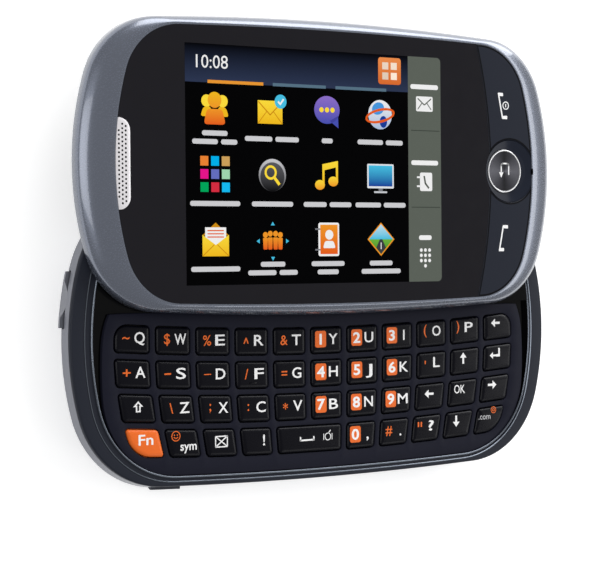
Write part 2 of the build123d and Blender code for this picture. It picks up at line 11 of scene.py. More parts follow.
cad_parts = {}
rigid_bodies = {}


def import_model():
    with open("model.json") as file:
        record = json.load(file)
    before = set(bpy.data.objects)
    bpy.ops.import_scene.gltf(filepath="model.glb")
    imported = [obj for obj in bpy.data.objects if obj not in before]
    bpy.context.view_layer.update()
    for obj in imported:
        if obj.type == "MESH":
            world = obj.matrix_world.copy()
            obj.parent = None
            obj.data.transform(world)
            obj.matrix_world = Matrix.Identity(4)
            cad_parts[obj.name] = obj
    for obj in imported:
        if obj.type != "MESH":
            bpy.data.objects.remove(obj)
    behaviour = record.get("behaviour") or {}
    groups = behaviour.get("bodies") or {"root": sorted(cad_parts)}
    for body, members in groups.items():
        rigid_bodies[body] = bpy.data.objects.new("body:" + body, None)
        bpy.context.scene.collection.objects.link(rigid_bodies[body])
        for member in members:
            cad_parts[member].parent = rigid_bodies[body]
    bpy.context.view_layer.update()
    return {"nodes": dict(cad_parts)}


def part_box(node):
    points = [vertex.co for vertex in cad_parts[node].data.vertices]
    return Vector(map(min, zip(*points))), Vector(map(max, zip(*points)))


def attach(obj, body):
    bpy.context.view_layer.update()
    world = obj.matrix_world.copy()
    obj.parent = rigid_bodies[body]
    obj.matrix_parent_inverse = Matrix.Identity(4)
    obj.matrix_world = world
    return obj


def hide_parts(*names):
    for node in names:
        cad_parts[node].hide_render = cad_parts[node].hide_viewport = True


bl_info = {
    "name": "Side-sliding phone",
    "version": (1, 0, 0),
    "blender": (4, 5, 0),
    "location": "View3D > Sidebar > Phone",
    "description": "Builds the visible pieces and finishes of a side-sliding keyboard phone",
    "category": "Object",
}

for leftover in list(bpy.data.objects):
    bpy.data.objects.remove(leftover)
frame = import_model()

# Shapes are drawn in millimetres and brought to metres when a piece is finished.
MM = 0.001


def low_mm(node):
    """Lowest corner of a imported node, in millimetres."""
    return Vector(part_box(node)[0]) / MM


def high_mm(node):
    """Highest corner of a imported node, in millimetres."""
    return Vector(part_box(node)[1]) / MM


def middle_mm(node):
    """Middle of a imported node's box, in millimetres."""
    return (low_mm(node) + high_mm(node)) / 2


# Outlines: two bowed ends, two nearly straight sides and round corners.
Plan = namedtuple("Plan", "x y length width end side corner")
SLIDER_X = (low_mm("slider_frame").x + high_mm("slider_frame").x) / 2
SLIDER_Y = (low_mm("slider_frame").y + high_mm("slider_frame").y) / 2
KEYBOARD_X = 0.35
BASE = Plan(0.0, 0.0, 107.7, 54.2, 50.4, 900.0, 17.8)
SLIDER = Plan(SLIDER_X, SLIDER_Y, 106.4, 54.4, 53.0, 600.0, 14.5)
WINDOW = Plan(SLIDER_X, SLIDER_Y, 93.9, 50.2, 58.5, 1000.0, 11.4)
BEAD = Plan(KEYBOARD_X, 0.0, 100.6, 51.6, 52.6, 900.0, 17.3)
LIP = Plan(-0.1, 0.0, 101.34, 51.96, 52.9, 900.0, 17.4)
PANEL = Plan(0.6, -5.5, 95.8, 38.9, 66.0, 900.0, 15.0)
END_STEPS = 36
CORNER_STEPS = 20
SIDE_STEPS = 24

# Two loops that are joined never lie at one height; this sets them apart.
STEP = 0.02

# A corner counts as lying on a cut within this.
TOUCH = 0.001
CUT_STEPS = 8

# Slider.
SLIDER_FOOT = low_mm("slider_frame").z
GLASS_TOP = high_mm("touch_window").z
GLASS_SEAT = low_mm("touch_window").z
RIDGE_DROP = 1.9
RIDGE_SHARE = 0.3
RIDGE_STEPS = 10
BEZEL_CROWN = 0.6
BEZEL_STEPS = 8
BEZEL_WALL = 1.6
BEZEL_FOOT_ROUND = 0.3
BEZEL_RIM_ROUND = 0.16
SHELF_DROP = 1.4
CAVITY_HEIGHT = 2.1
WINDOW_RIM = 0.3
WINDOW_RIM_DROP = 0.06
MOUTHPIECE = (0.5, 1.2, 0.5)
MOUTHPIECE_SHIFT = 0.12
MOUTHPIECE_RISE = 0.02
MOUTHPIECE_ROUND = 0.1

# Front keys.
KEY_LINE = 0.28
KEY_LINE_THICK = 0.01
DISH_SHIFT = 1.4
DISH_REACH = 6.05
SIGN_X = 41.48
SIGN_Y = {"end_key": 13.45, "call_key": -13.85}
SIGN_LEAN = {"end_key": 0.55, "call_key": -0.55}
RING_WIDTH = 0.3
RING_DROP = 0.3
DISC_DROP = 0.175
DISC_THICK = 0.7
DISC_STEPS = 72
BEND = ((1.0, 0.0), (0.7, 0.7), (0.0, 1.0))
# Painted highlights and painted shade in a fan round the back key's disc, standing in for the
# reflections of spun metal: share of a turn and grey.
DISC_PAINTED_GLINTS = ((0.0, 78), (0.17, 46), (0.25, 12), (0.33, 46), (0.5, 84), (0.67, 46),
               (0.75, 10), (0.83, 46), (1.0, 78))

# Earpiece grille.
GRILLE_FIT = 0.03
GRILLE_EDGE = 0.08
GRILLE_CORNER = 2.2
HOLE_COLUMNS = 3
HOLE_COLUMN_PITCH = 0.68
HOLE_MARGIN_X = 0.9
HOLE_MARGIN_Y = 1.0
HOLE_RIM = 0.05
HOLE_SIDES = 10

# Deck.
DECK_TOP = high_mm("deck_band").z
DECK_FOOT = low_mm("deck_band").z
DECK_INSET = 1.13
SHOULDER_INSET = 0.335
SHELL_DROP = 0.9
SEAM_CHAMFER = 0.14
BEAD_THICK = 0.85
BEAD_CREST = 0.2
LIP_REACH = 0.12
LIP_BACK = 0.09
DECK_ROUND = 0.4
GROOVE_DEPTH = 0.35
RECESS_DEPTH = 1.1
RECESS_TOP_Y = 5.4
RECESS_FIT = 0.01

# Keypad.
PANEL_TOP = high_mm("keypad_panel").z
PANEL_FOOT = low_mm("keypad_panel").z
PANEL_TOP_Y = 4.9
PANEL_TOP_CORNER = 3.3
PANEL_FIT = 0.03
PANEL_EDGE = 0.2
KEY_TOP = high_mm("key_g").z
KEY_FOOT = low_mm("key_g").z
ROW_TOP_Y = -1.15
ROW_PITCH = 6.1
ROW_BOW = 1.75
COLUMN_PITCH = (8.32, 8.3, 8.13, 7.83)
COLUMN_LEAN = (0.0, 0.06, 0.16, 0.26)
COLUMNS = 11
WEB_X = 1.05
WEB_Y = 0.95
KEY_GAP = 0.2
KEY_LEAST_CORNER = 0.12
KEY_CORNER_STEPS = 6
KEY_EDGE_DROP = 0.42
KEY_FLANGE = 0.32
KEY_FLANGE_THICK = 0.4
OPENING_LIP = 0.16
HOMING_BAR = (1.5, 0.25, 0.1)
HOMING_ROUND = 0.06
HOMING_Y = 0.95
KEY_ROWS = (
    ("q", "w", "e", "r", "t", "y", "u", "i", "o", "p", "backspace"),
    ("a", "s", "d", "f", "g", "h", "j", "k", "l", "up", "enter"),
    ("shift", "z", "x", "c", "v", "b", "n", "m", "left", "ok", "right"),
    ("fn", "sym", "mail", "exclamation", "space", "comma", "period", "quote", "down", "at"),
)
WIDE_KEYS = {"space": 2}
HOMING_KEYS = ("f", "j")

# Key at each corner of the keypad, by row and column: which of its corners is big, and its
# radius.
LAST_ROW, LAST_COLUMN = len(KEY_ROWS) - 1, COLUMNS - 1
BIG_CORNERS = {(LAST_ROW, 0): (0, 3.6), (LAST_ROW, LAST_COLUMN): (1, 3.6),
               (0, LAST_COLUMN): (2, 2.8), (0, 0): (3, 2.8)}

# Print on the keys.
SYMBOLS = {
    "q": "~", "w": "$", "e": "%", "r": "^", "t": "&", "o": "(", "p": ")",
    "a": "+", "s": "-", "d": "_", "f": "/", "g": "=", "l": "'",
    "z": "\\", "x": ";", "c": ":", "v": "*", "period": "#",
}
DIGITS = {"y": "1", "u": "2", "i": "3", "h": "4", "j": "5", "k": "6",
          "b": "7", "n": "8", "m": "9", "comma": "0"}
PUNCTUATION = {"exclamation": "!", "comma": ",", "period": ".", "quote": "?"}
ARROW_TURNS = {"backspace": 180, "left": 180, "up": 90, "right": 0, "down": -90}
ARROW_REACH = 1.1
LETTER_WIDTH = 2.05
LETTER_WIDTHS = {"i": 0.36, "j": 1.6, "l": 1.6, "m": 2.4, "w": 2.4, "q": 2.1,
                 "exclamation": 0.42, "comma": 0.5, "period": 0.42, "quote": 1.35}
LETTER_BOLD = 0.03
PUNCTUATION_BOLD = 0.04
SYMBOL_WIDTHS = {"s": 1.35, "d": 1.5, "a": 1.6}
SYMBOL_SHARE = 0.95
SYMBOL_BOLD = 0.018
SYMBOL_X = -1.4
BADGE_X = -1.5
BADGE_SIZE = (2.5, 3.1)
BADGE_CORNER = 0.45
DIGIT_WIDE = 1.25
DIGIT_BOLD = 0.07
LETTER_X = 1.35
LETTER_Y = 0.25
LEGEND_SHIFT = {8: (-0.35, 0.55), 9: (-0.6, 0.65), 10: (-0.75, 0.75)}

# Screen layout, in sixtieths of the picture's width.
SCREEN_WIDTH = 57.0
LAYOUT = SCREEN_WIDTH / 60
SCREEN_X = -4.716
SCREEN_SIDE = 30.0
SCREEN_RISE = 22.5
ICON_COLUMNS = (-23.6, -10.8, 2.0, 14.8)
ICON_ROWS = (10.6, -1.75, -14.0)
CAPTION_DROP = 5.5
STRIP_LEFT = 21.75
STRIP_MIDDLE = (STRIP_LEFT + SCREEN_SIDE) / 2
STRIP_CORNER = 0.9
WORD_HEIGHT = 0.95
WORD_GAP = 0.7
WORD_CORNER = 0.45 * WORD_HEIGHT

# Captions: column, row, rise and the length of each word.
CAPTIONS = (
    (0, 0, 0.8, (5.6,)), (0, 0, -0.8, (5.6, 3.6)), (1, 0, 0.0, (6.2, 5.4)),
    (2, 0, 0.0, (2.6,)), (3, 0, 0.0, (6.2, 4.2)), (0, 1, 0.0, (11.0,)),
    (1, 1, 0.0, (9.4,)), (2, 1, 0.0, (5.4, 5.2)), (3, 1, 0.0, (6.2, 5.4)),
    (0, 2, 0.0, (10.8,)), (1, 2, 0.8, (5.6,)), (1, 2, -0.8, (6.4, 4.2)),
    (2, 2, 0.8, (7.8,)), (2, 2, -0.8, (5.0,)), (3, 2, 0.8, (5.6,)), (3, 2, -0.8, (9.6,)),
)

# Board: below its foot are the shield, the loudspeaker and the camera with its lens.
BOARD_FOOT = DECK_TOP - 3.85
LENS_PLACE = Vector((-38.6, 10.6, 0.4))
LENS_REACH = 1.62

# Half the width over which one tint passes into another.
TINT_BLUR = 0.02

# Built-in lettering: share of the type size that a capital takes.
CAPITAL = 0.682

# Camera.
CAMERA_PLACE = (-0.21142, 0.01485, 0.31200)
CAMERA_TURN = Vector((-0.010324, -0.596407, -0.011790))
CAMERA_LENS = 118.62
CAMERA_SENSOR = 36.0
CAMERA_NEAR = 0.01

# Stage.
FLOOR_REACH = 3.0
FLOOR_DROP = 0.02
FLOOR_GLOW = 0.42
WORLD_LIGHT = 0.4

# Lamps, which face the phone: name, place, width, height and watts.
LAMPS = (
    ("left", (-0.75, 0.1, 0.6), 0.5, 0.8, 3.0),
    ("behind", (0.50, 0.79, 0.28), 1.1, 0.6, 9.5),
    ("right", (0.75, 0.05, 0.52), 0.7, 0.32, 1.9),
    ("front", (0.53, -0.52, 0.6), 0.3, 0.3, 0.6),
)


def srgb(red, green, blue):
    """Linear colour of three display values from 0 to 255."""
    def linear(value):
        value /= 255
        return value / 12.92 if value <= 0.04045 else ((value + 0.055) / 1.055) ** 2.4
    return (linear(red), linear(green), linear(blue))


# Inks of the picture.
WHITE, BLACK, GREY = srgb(240, 240, 240), srgb(3, 3, 4), srgb(120, 122, 128)
CHARCOAL, NEAR_BLACK, SILVER = srgb(25, 25, 28), srgb(12, 12, 14), srgb(200, 200, 204)
STEEL, PEARL, PALE_GREY = srgb(200, 203, 208), srgb(225, 228, 232), srgb(205, 205, 208)
ORANGE, DEEP_ORANGE, TAB_ORANGE = srgb(240, 150, 40), srgb(228, 92, 30), srgb(232, 150, 50)
YELLOW, GOLD, AMBER = srgb(252, 220, 60), srgb(240, 185, 30), srgb(205, 140, 20)
CYAN, BLUE, DEEP_BLUE = srgb(70, 190, 225), srgb(70, 150, 220), srgb(25, 60, 150)
PURPLE, VIOLET, SLATE_BLUE = srgb(140, 110, 200), srgb(70, 80, 175), srgb(86, 112, 130)
GREEN, DARK_GREEN, ROAD = srgb(110, 180, 60), srgb(60, 130, 40), srgb(60, 62, 66)
STRIP_GREY, STRIP_LINE = srgb(92, 98, 90), srgb(60, 66, 60)
KEY_INK = srgb(14, 14, 20)
SQUARES = (srgb(235, 130, 50), srgb(0, 175, 235), srgb(205, 160, 90),
           srgb(230, 20, 140), srgb(100, 110, 190), srgb(160, 215, 175),
           srgb(0, 165, 90), srgb(215, 45, 65), srgb(20, 185, 240))


# ------------------------------------------------------------------ settings
def length_setting(name, description, millimetres):
    """Setting that holds a length."""
    return bpy.props.FloatProperty(name=name, description=description, default=millimetres * MM,
                                   min=0.0, unit="LENGTH")


def colour_setting(name, description, red, green, blue):
    """Setting that holds a colour."""
    return bpy.props.FloatVectorProperty(name=name, description=description, subtype="COLOR",
                                         min=0.0, max=1.0, default=srgb(red, green, blue))


class PhoneSizes(bpy.types.PropertyGroup):
    """Sizes of the detail that only shows."""
    ridge_round: length_setting("Ridge rounding", "Rounding of the ridge round the bezel", 1.1)
    key_corner: length_setting("Key corner", "Corner radius of a key's opening", 0.8)
    key_edge: length_setting("Key edge", "Width of the rounding of a key's top edge", 0.8)
    legend_height: length_setting("Legend height", "Height of a capital letter on a key", 1.9)
    legend_thick: length_setting("Legend thickness", "How proud the print on a key stands", 0.015)
    picture_thick: length_setting("Picture thickness", "Height of a layer of the picture", 0.008)
    hole_radius: length_setting("Hole radius", "Radius of the earpiece's sound holes", 0.2)
    hole_pitch: length_setting("Hole pitch", "Distance between sound holes in a column", 0.76)


class PhoneColours(bpy.types.PropertyGroup):
    """Colours of the finishes."""
    bezel: colour_setting("Bezel", "Metallic paint of the slider's frame", 108, 114, 128)
    window: colour_setting("Window", "Black behind the front window", 30, 29, 33)
    front_key: colour_setting("Front keys", "Call and end keys", 32, 36, 47)
    grille: colour_setting("Grille", "Earpiece plate", 235, 232, 235)
    shell: colour_setting("Shell", "Painted side wall of the base", 126, 128, 136)
    band: colour_setting("Band", "Slate band round the keypad", 38, 41, 50)
    bead: colour_setting("Bead", "Bright line round the keypad", 108, 114, 124)
    panel: colour_setting("Panel", "Matte panel between the keys", 27, 28, 40)
    key: colour_setting("Keys", "Letter keys", 6, 6, 14)
    accent: colour_setting("Accent", "Function key and second legends", 243, 112, 38)
    legend: colour_setting("Legends", "Letters on the keys", 255, 255, 255)
    floor: colour_setting("Floor", "Plain floor under the phone", 253, 253, 253)


# ----------------------------------------------------------------- finishes
def plug(material, node, name, value):
    """Gives a node's socket a value, or links another node's socket to it."""
    if isinstance(value, bpy.types.NodeSocket):
        material.node_tree.links.new(value, node.inputs[name])
    else:
        node.inputs[name].default_value = value


def add_node(material, kind, settings=None, **sockets):
    """New shader node with its settings, and a value or a link on each named socket."""
    made = material.node_tree.nodes.new("ShaderNode" + kind)
    for name, value in (settings or {}).items():
        setattr(made, name, value)
    for name, value in sockets.items():
        plug(material, made, name.replace("_", " "), value)
    return made


def set_shader(material, **sockets):
    """Gives each named socket of a material's shader a value or a link."""
    for name, value in sockets.items():
        plug(material, material.node_tree.nodes["Principled BSDF"], name.replace("_", " "), value)


def place_on(material):
    """Socket that gives the place of a point of a surface."""
    return material.node_tree.nodes["Texture Coordinate"].outputs["Object"]


def painted(name, colour, roughness, metallic=0.0, specular=0.5, coat=0.0, grain=900.0,
            mottle=0.06, bump=0.02, roughness_spread=0.05):
    """Moulded or painted surface with a fine grain in colour, gloss and relief."""
    material = bpy.data.materials.new(name)
    material.use_nodes = True
    add_node(material, "TexCoord")
    speckle = add_node(material, "TexNoise", Vector=place_on(material), Scale=grain, Detail=3.0)
    grit = speckle.outputs["Fac"]
    shades = add_node(material, "Mix", {"data_type": "RGBA"}, Factor=grit,
                      A=(*[part * (1 - mottle) for part in colour], 1),
                      B=(*[min(1, part * (1 + mottle)) for part in colour], 1))
    gloss = add_node(material, "MapRange", Value=grit,
                     To_Min=max(0.02, roughness - roughness_spread),
                     To_Max=roughness + roughness_spread)
    relief = add_node(material, "Bump", Height=grit, Strength=bump, Distance=0.1 * MM)
    set_shader(material, Base_Color=shades.outputs["Result"], Metallic=metallic,
               Roughness=gloss.outputs["Result"], Normal=relief.outputs["Normal"],
               Specular_IOR_Level=specular, Coat_Weight=coat, Coat_Roughness=0.06)
    return material


def printed(name, glow, roughness=0.35, specular=0.3):
    """Print or lit picture whose colours are kept on the piece, with a fine dot grain."""
    material = painted(name, (0.5, 0.5, 0.5), roughness, specular=specular, bump=0.0)
    grit = material.node_tree.nodes["Noise Texture"].outputs["Fac"]
    ink = add_node(material, "Attribute", {"attribute_name": "ink"}).outputs["Color"]
    shaded = 1 - glow
    grey = add_node(material, "MapRange", Value=grit, To_Min=0.93 * shaded, To_Max=shaded)
    dots = add_node(material, "Mix", {"data_type": "RGBA", "blend_type": "MULTIPLY"},
                    Factor=1.0, A=ink, B=grey.outputs["Result"])
    set_shader(material, Base_Color=dots.outputs["Result"])
    if glow:
        set_shader(material, Emission_Color=ink, Emission_Strength=glow)
    return material


def spun_metal_with_painted_glints(name):
    """Dark disc turned on a lathe: fine rings, and a fan of painted highlights and painted shade
    that stands in for its reflections.
    """
    material = painted(name, srgb(60, 61, 68), 0.32, metallic=0.7, grain=1500.0)
    middle = middle_mm("back_key") * MM
    centred = add_node(material, "Mapping", Vector=place_on(material),
                       Location=(-middle.x, -middle.y, 0)).outputs["Vector"]
    # Painted highlights and painted shade by the angle round the disc's middle, standing in for
    # its reflections.
    painted_glint_fan = add_node(material, "TexGradient", {"gradient_type": "RADIAL"}, Vector=centred)
    ramp = add_node(material, "ValToRGB", Fac=painted_glint_fan.outputs["Fac"])
    stops = ramp.color_ramp.elements
    for share, _ in DISC_PAINTED_GLINTS[1:-1]:
        stops.new(share)
    for stop, (share, grey) in zip(stops, DISC_PAINTED_GLINTS):
        stop.position = share
        stop.color = (*srgb(grey, grey, grey + 6), 1)
    rings = add_node(material, "TexWave", {"wave_type": "RINGS", "rings_direction": "Z"},
                     Vector=centred, Scale=1200.0)
    relief = material.node_tree.nodes["Bump"]
    plug(material, relief, "Strength", 0.15)
    plug(material, relief, "Height", rings.outputs["Fac"])
    set_shader(material, Base_Color=ramp.outputs["Color"], Anisotropic=0.6)
    return material


def distance_to(material, place):
    """Socket that gives how far a point of a surface is from a place in millimetres."""
    away = add_node(material, "VectorMath", {"operation": "DISTANCE"})
    plug(material, away, 0, place_on(material))
    plug(material, away, 1, place * MM)
    return away.outputs["Value"]


def height_on(material):
    """Socket that gives the height of a point of a surface."""
    return add_node(material, "SeparateXYZ", Vector=place_on(material)).outputs["Z"]


def tint(material, measure, limit, colour):
    """Gives a surface another colour where a measured length is under its limit."""
    edge = add_node(material, "MapRange", Value=measure, From_Min=(limit - TINT_BLUR) * MM,
                    From_Max=(limit + TINT_BLUR) * MM)
    shader = material.node_tree.nodes["Principled BSDF"]
    either = add_node(material, "Mix", {"data_type": "RGBA"}, Factor=edge.outputs["Result"],
                      A=(*colour, 1), B=shader.inputs["Base Color"].links[0].from_socket)
    set_shader(material, Base_Color=either.outputs["Result"])


# ------------------------------------------------------------------- shapes
def spin_arc(bm, vert, centre, angle, steps):
    """Edge chain that swings a vertex round a centre; gives its last vertex."""
    swung = bmesh.ops.spin(bm, geom=[vert], cent=centre, axis=(0, 0, 1), angle=angle,
                           steps=steps, use_duplicate=False)
    return next(g for g in swung["geom_last"] if isinstance(g, bmesh.types.BMVert))


def between(one, other, share):
    """Plan part of the way from one plan to another."""
    return Plan(*[a + (b - a) * share for a, b in zip(one, other)])


def plan_loop(bm, plan, inset, z):
    """Closed edge loop of a plan, moved in by inset, at one height."""
    end = Vector((plan.length / 2 - plan.end, 0))
    side = Vector((0, plan.width / 2 - plan.side))
    apart = end - side
    from_side = plan.side - plan.corner
    from_end = plan.end - plan.corner
    along = (from_side ** 2 - from_end ** 2 + apart.length_squared) / (2 * apart.length)
    across = math.sqrt(from_side ** 2 - along ** 2)
    unit = apart.normalized()
    corner = side + along * unit + across * Vector((unit.y, -unit.x))
    low = math.atan2(corner.y - end.y, corner.x - end.x)
    high = math.atan2(corner.y - side.y, corner.x - side.x)
    bend = high - low
    arcs = (
        (end.x, end.y, 2 * low, END_STEPS),
        (corner.x, corner.y, bend, CORNER_STEPS),
        (side.x, side.y, math.pi - 2 * high, SIDE_STEPS),
        (-corner.x, corner.y, bend, CORNER_STEPS),
        (-end.x, end.y, 2 * low, END_STEPS),
        (-corner.x, -corner.y, bend, CORNER_STEPS),
        (side.x, -side.y, math.pi - 2 * high, SIDE_STEPS),
        (corner.x, -corner.y, bend, CORNER_STEPS),
    )
    old = set(bm.edges)
    reach = plan.end - inset
    first = bm.verts.new((plan.x + end.x + reach * math.cos(low),
                          plan.y - reach * math.sin(low), z))
    vert = first
    for x, y, angle, steps in arcs:
        vert = spin_arc(bm, vert, (plan.x + x, plan.y + y, z), angle, steps)
    bmesh.ops.weld_verts(bm, targetmap={vert: first})
    return [edge for edge in bm.edges if edge not in old]


def arc_sections(inset, top, wide, deep, stop, step):
    """Insets and heights of an edge that is rounded from its side, at 0 degrees, to a stop."""
    turns = [math.radians(turn) for turn in range(0, stop + 1, step)]
    return [(inset + wide * (1 - math.cos(turn)), top - deep * (1 - math.sin(turn)))
            for turn in turns]


def skin(bm, loops, closed=False):
    """Joins edge loops one after another; gives the faces between each pair."""
    pairs = list(zip(loops, loops[1:]))
    if closed:
        pairs.append((loops[-1], loops[0]))
    return [bmesh.ops.bridge_loops(bm, edges=one + other)["faces"] for one, other in pairs]


def sheet(bm, outlines):
    """Flat piece of outlines, each its loops from top to bottom; gives its walls' faces."""
    walls = [faces for loops in outlines for faces in skin(bm, loops)]
    for level in (0, -1):
        rim = [edge for loops in outlines for edge in loops[level]]
        bmesh.ops.triangle_fill(bm, edges=rim, use_beauty=True)
    return walls


def rounded(bm, edges, radius, steps):
    """Rounds edges."""
    bmesh.ops.bevel(bm, geom=edges, offset=radius, offset_type="OFFSET", segments=steps,
                    profile=0.5, affect="EDGES", clamp_overlap=False, material=-1)


def blunted(bm, corners, radius, steps, clamp=False):
    """Rounds the corners of a flat face."""
    bmesh.ops.bevel(bm, geom=corners, offset=radius, offset_type="OFFSET", segments=steps,
                    profile=0.5, affect="VERTICES", clamp_overlap=clamp, material=-1)


def raised(bm, faces, height):
    """Makes flat faces a plate."""
    made = bmesh.ops.extrude_face_region(bm, geom=faces)
    verts = [g for g in made["geom"] if isinstance(g, bmesh.types.BMVert)]
    bmesh.ops.translate(bm, vec=(0, 0, height), verts=verts)


def trimmed(bm, face, place, out):
    """Part of a flat face behind a cutting plane."""
    cut = bmesh.ops.bisect_plane(bm, geom=[face, *face.edges, *face.verts], plane_co=place,
                                 plane_no=out, clear_outer=True)
    return next(g for g in cut["geom"] if isinstance(g, bmesh.types.BMFace))


def loose_outline(bm, z):
    """Edge loop of the one face at a height that no other face joins; the face is taken out."""
    face = next(f for f in bm.faces if abs(f.verts[0].co.z - z) < 1e-6
                and all(len(edge.link_faces) == 1 for edge in f.edges))
    edges = list(face.edges)
    bmesh.ops.delete(bm, geom=[face], context="FACES_ONLY")
    return edges


def filled(bm, loop):
    """Flat face inside an edge loop."""
    return bmesh.ops.edgeloop_fill(bm, edges=loop)["faces"][0]


def cut_loop(bm, plan, inset, z, cuts, radius):
    """Edge loop of a plan cut straight, with a rounding at both ends of the first cut."""
    face = filled(bm, plan_loop(bm, plan, inset, z))
    for place, out in cuts:
        face = trimmed(bm, face, place, out)
    place, out = cuts[0]
    for vert in [vert for vert in face.verts if (vert.co - Vector(place)).dot(out) > -TOUCH]:
        blunted(bm, [vert], radius, CUT_STEPS)
    return loose_outline(bm, z)


def polygon_loop(bm, corners, radii, z, steps):
    """Edge loop of a polygon with a rounding at each corner."""
    face = bm.faces.new([bm.verts.new((x, y, z)) for x, y in corners])
    for corner, radius in zip(list(face.verts), radii):
        blunted(bm, [corner], radius, steps)
    return loose_outline(bm, z)


def scaled(bm, factor):
    """Scales a drawing about the origin."""
    bmesh.ops.scale(bm, vec=(factor, factor, factor), verts=bm.verts)


def piece(bm, name, body, materials, replaces=(), sharp=35.0):
    """Makes a drawn shape into an object of the phone, in metres, riding on a body."""
    bmesh.ops.recalc_face_normals(bm, faces=bm.faces)
    scaled(bm, MM)
    mesh = bpy.data.meshes.new(name)
    bm.to_mesh(mesh)
    bm.free()
    for material in materials:
        mesh.materials.append(material)
    mesh.shade_smooth()
    mesh.set_sharp_from_angle(angle=math.radians(sharp))
    obj = bpy.data.objects.new(name, mesh)
    bpy.context.scene.collection.objects.link(obj)
    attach(obj, body)
    if replaces:
        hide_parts(*replaces)


def refinish(node, material):
    """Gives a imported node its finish."""
    for slot in frame["nodes"][node].material_slots:
        slot.material = material


# -------------------------------------------------------------------- print
class Canvas:
    """Draws flat raised shapes about a movable point and keeps their colours on their faces."""

    def __init__(self, bm, z, thick, material=0):
        self.bm = bm
        self.x = self.y = 0.0
        self.z = z
        self.thick = thick
        self.material = material
        self.ink = bm.loops.layers.float_color.new("ink")

    def move(self, x, y):
        """Sets the point about which the next shapes are drawn."""
        self.x = x
        self.y = y

    def finish(self, old, colour, other=None):
        """Colours what was drawn since old; other is the colour at the top of a blend."""
        new = [face for face in self.bm.faces if face not in old]
        heights = [vert.co.y for face in new for vert in face.verts]
        low, high = min(heights), max(heights)
        for face in new:
            face.material_index = self.material
            for loop in face.loops:
                share = (loop.vert.co.y - low) / (high - low) if other else 0
                mixed = Vector(colour).lerp(Vector(other or colour), share)
                loop[self.ink] = (*mixed, 1)

    def polygon(self, points, colour, layer=0, corner=0.0, other=None, round_corners=None):
        """Plate with straight sides, or with all or some corners round."""
        old = set(self.bm.faces)
        self.bm.faces.new([self.bm.verts.new((self.x + x, self.y + y, self.z))
                           for x, y in points])
        face = next(f for f in self.bm.faces if f not in old)
        if corner:
            chosen = [vert for i, vert in enumerate(face.verts)
                      if round_corners is None or i in round_corners]
            blunted(self.bm, chosen, corner, 4, clamp=True)
            face = next(f for f in self.bm.faces if f not in old)
        raised(self.bm, [face], self.thick * (layer + 1))
        self.finish(old, colour, other)

    def box(self, x, y, width, height, colour, layer=0, corner=0.0, turn=0.0, other=None):
        """Rectangle about its centre."""
        turned = Matrix.Rotation(math.radians(turn), 2)
        points = []
        for side, rise in ((-1, -1), (1, -1), (1, 1), (-1, 1)):
            point = turned @ Vector((side * width / 2, rise * height / 2))
            points.append((x + point.x, y + point.y))
        self.polygon(points, colour, layer, corner, other)

    def bar(self, start, end, width, colour, layer=0):
        """Straight stroke."""
        along = Vector(end) - Vector(start)
        middle = (Vector(end) + Vector(start)) / 2
        turn = math.degrees(math.atan2(along.y, along.x))
        self.box(middle.x, middle.y, along.length, width, colour, layer, turn=turn)

    def path(self, points, width, colour, layer=0):
        """Stroke through several points with round joints."""
        for start, end in zip(points, points[1:]):
            self.bar(start, end, width, colour, layer)
        for x, y in points[1:-1]:
            self.disc(x, y, width / 2, colour, layer, steps=12)

    def circle(self, x, y, radius, steps, tall, turn, filled):
        """Round or oval outline, filled or bare."""
        place = (Matrix.Translation((self.x + x, self.y + y, self.z))
                 @ Matrix.Rotation(math.radians(turn), 4, "Z")
                 @ Matrix.Diagonal((1, tall, 1, 1)))
        bmesh.ops.create_circle(self.bm, cap_ends=filled, segments=steps, radius=radius,
                                matrix=place)

    def disc(self, x, y, radius, colour, layer=0, steps=32, tall=1.0, turn=0.0, other=None):
        """Round or oval plate."""
        old = set(self.bm.faces)
        self.circle(x, y, radius, steps, tall, turn, True)
        raised(self.bm, [face for face in self.bm.faces if face not in old],
               self.thick * (layer + 1))
        self.finish(old, colour, other)

    def ring(self, x, y, radius, width, colour, layer=0, steps=32, tall=1.0, turn=0.0):
        """Round or oval ring of an even width."""
        old = set(self.bm.faces)
        old_edges = set(self.bm.edges)
        for reach in (radius - width / 2, radius + width / 2):
            rise = (radius * tall + reach - radius) / reach
            self.circle(x, y, reach, steps, rise, turn, False)
        bmesh.ops.bridge_loops(self.bm, edges=[e for e in self.bm.edges if e not in old_edges])
        raised(self.bm, [face for face in self.bm.faces if face not in old],
               self.thick * (layer + 1))
        self.finish(old, colour)

    def text(self, words, x, y, height, colour, layer=0, wide=1.0, bold=0.0, middle=True,
             width=None):
        """Lettering with capitals as tall as height; x and y are its middle or a capital's."""
        curve = bpy.data.curves.new("lettering", "FONT")
        curve.body = words
        curve.size = height / CAPITAL
        curve.offset = bold
        curve.extrude = self.thick * (layer + 1) / 2
        curve.resolution_u = 3
        carrier = bpy.data.objects.new("lettering", curve)
        mesh = bpy.data.meshes.new_from_object(carrier)
        xs = [vert.co.x for vert in mesh.vertices]
        ys = [vert.co.y for vert in mesh.vertices]
        drop = (min(ys) + max(ys)) / 2 if middle else height / 2
        if width:
            wide = width / (max(xs) - min(xs))
        place = (self.x + x, self.y + y, self.z + curve.extrude)
        mesh.transform(Matrix.Translation(place) @ Matrix.Diagonal((wide, 1, 1, 1))
                       @ Matrix.Translation((-(min(xs) + max(xs)) / 2, -drop, 0)))
        old = set(self.bm.faces)
        self.bm.from_mesh(mesh)
        self.finish(old, colour)
        bpy.data.objects.remove(carrier)
        bpy.data.curves.remove(curve)
        bpy.data.meshes.remove(mesh)

    def arrow(self, x, y, reach, colour, turn=0.0):
        """Solid arrow that points along +X before it is turned."""
        half = ((1, 0), (0.1, 0.75), (0.1, 0.2), (-1, 0.2))
        shape = [*half, *[(u, -v) for u, v in half[:0:-1]]]
        turned = Matrix.Rotation(math.radians(turn), 2)
        points = [turned @ (Vector(point) * reach) for point in shape]
        self.polygon([(x + p.x, y + p.y) for p in points], colour)

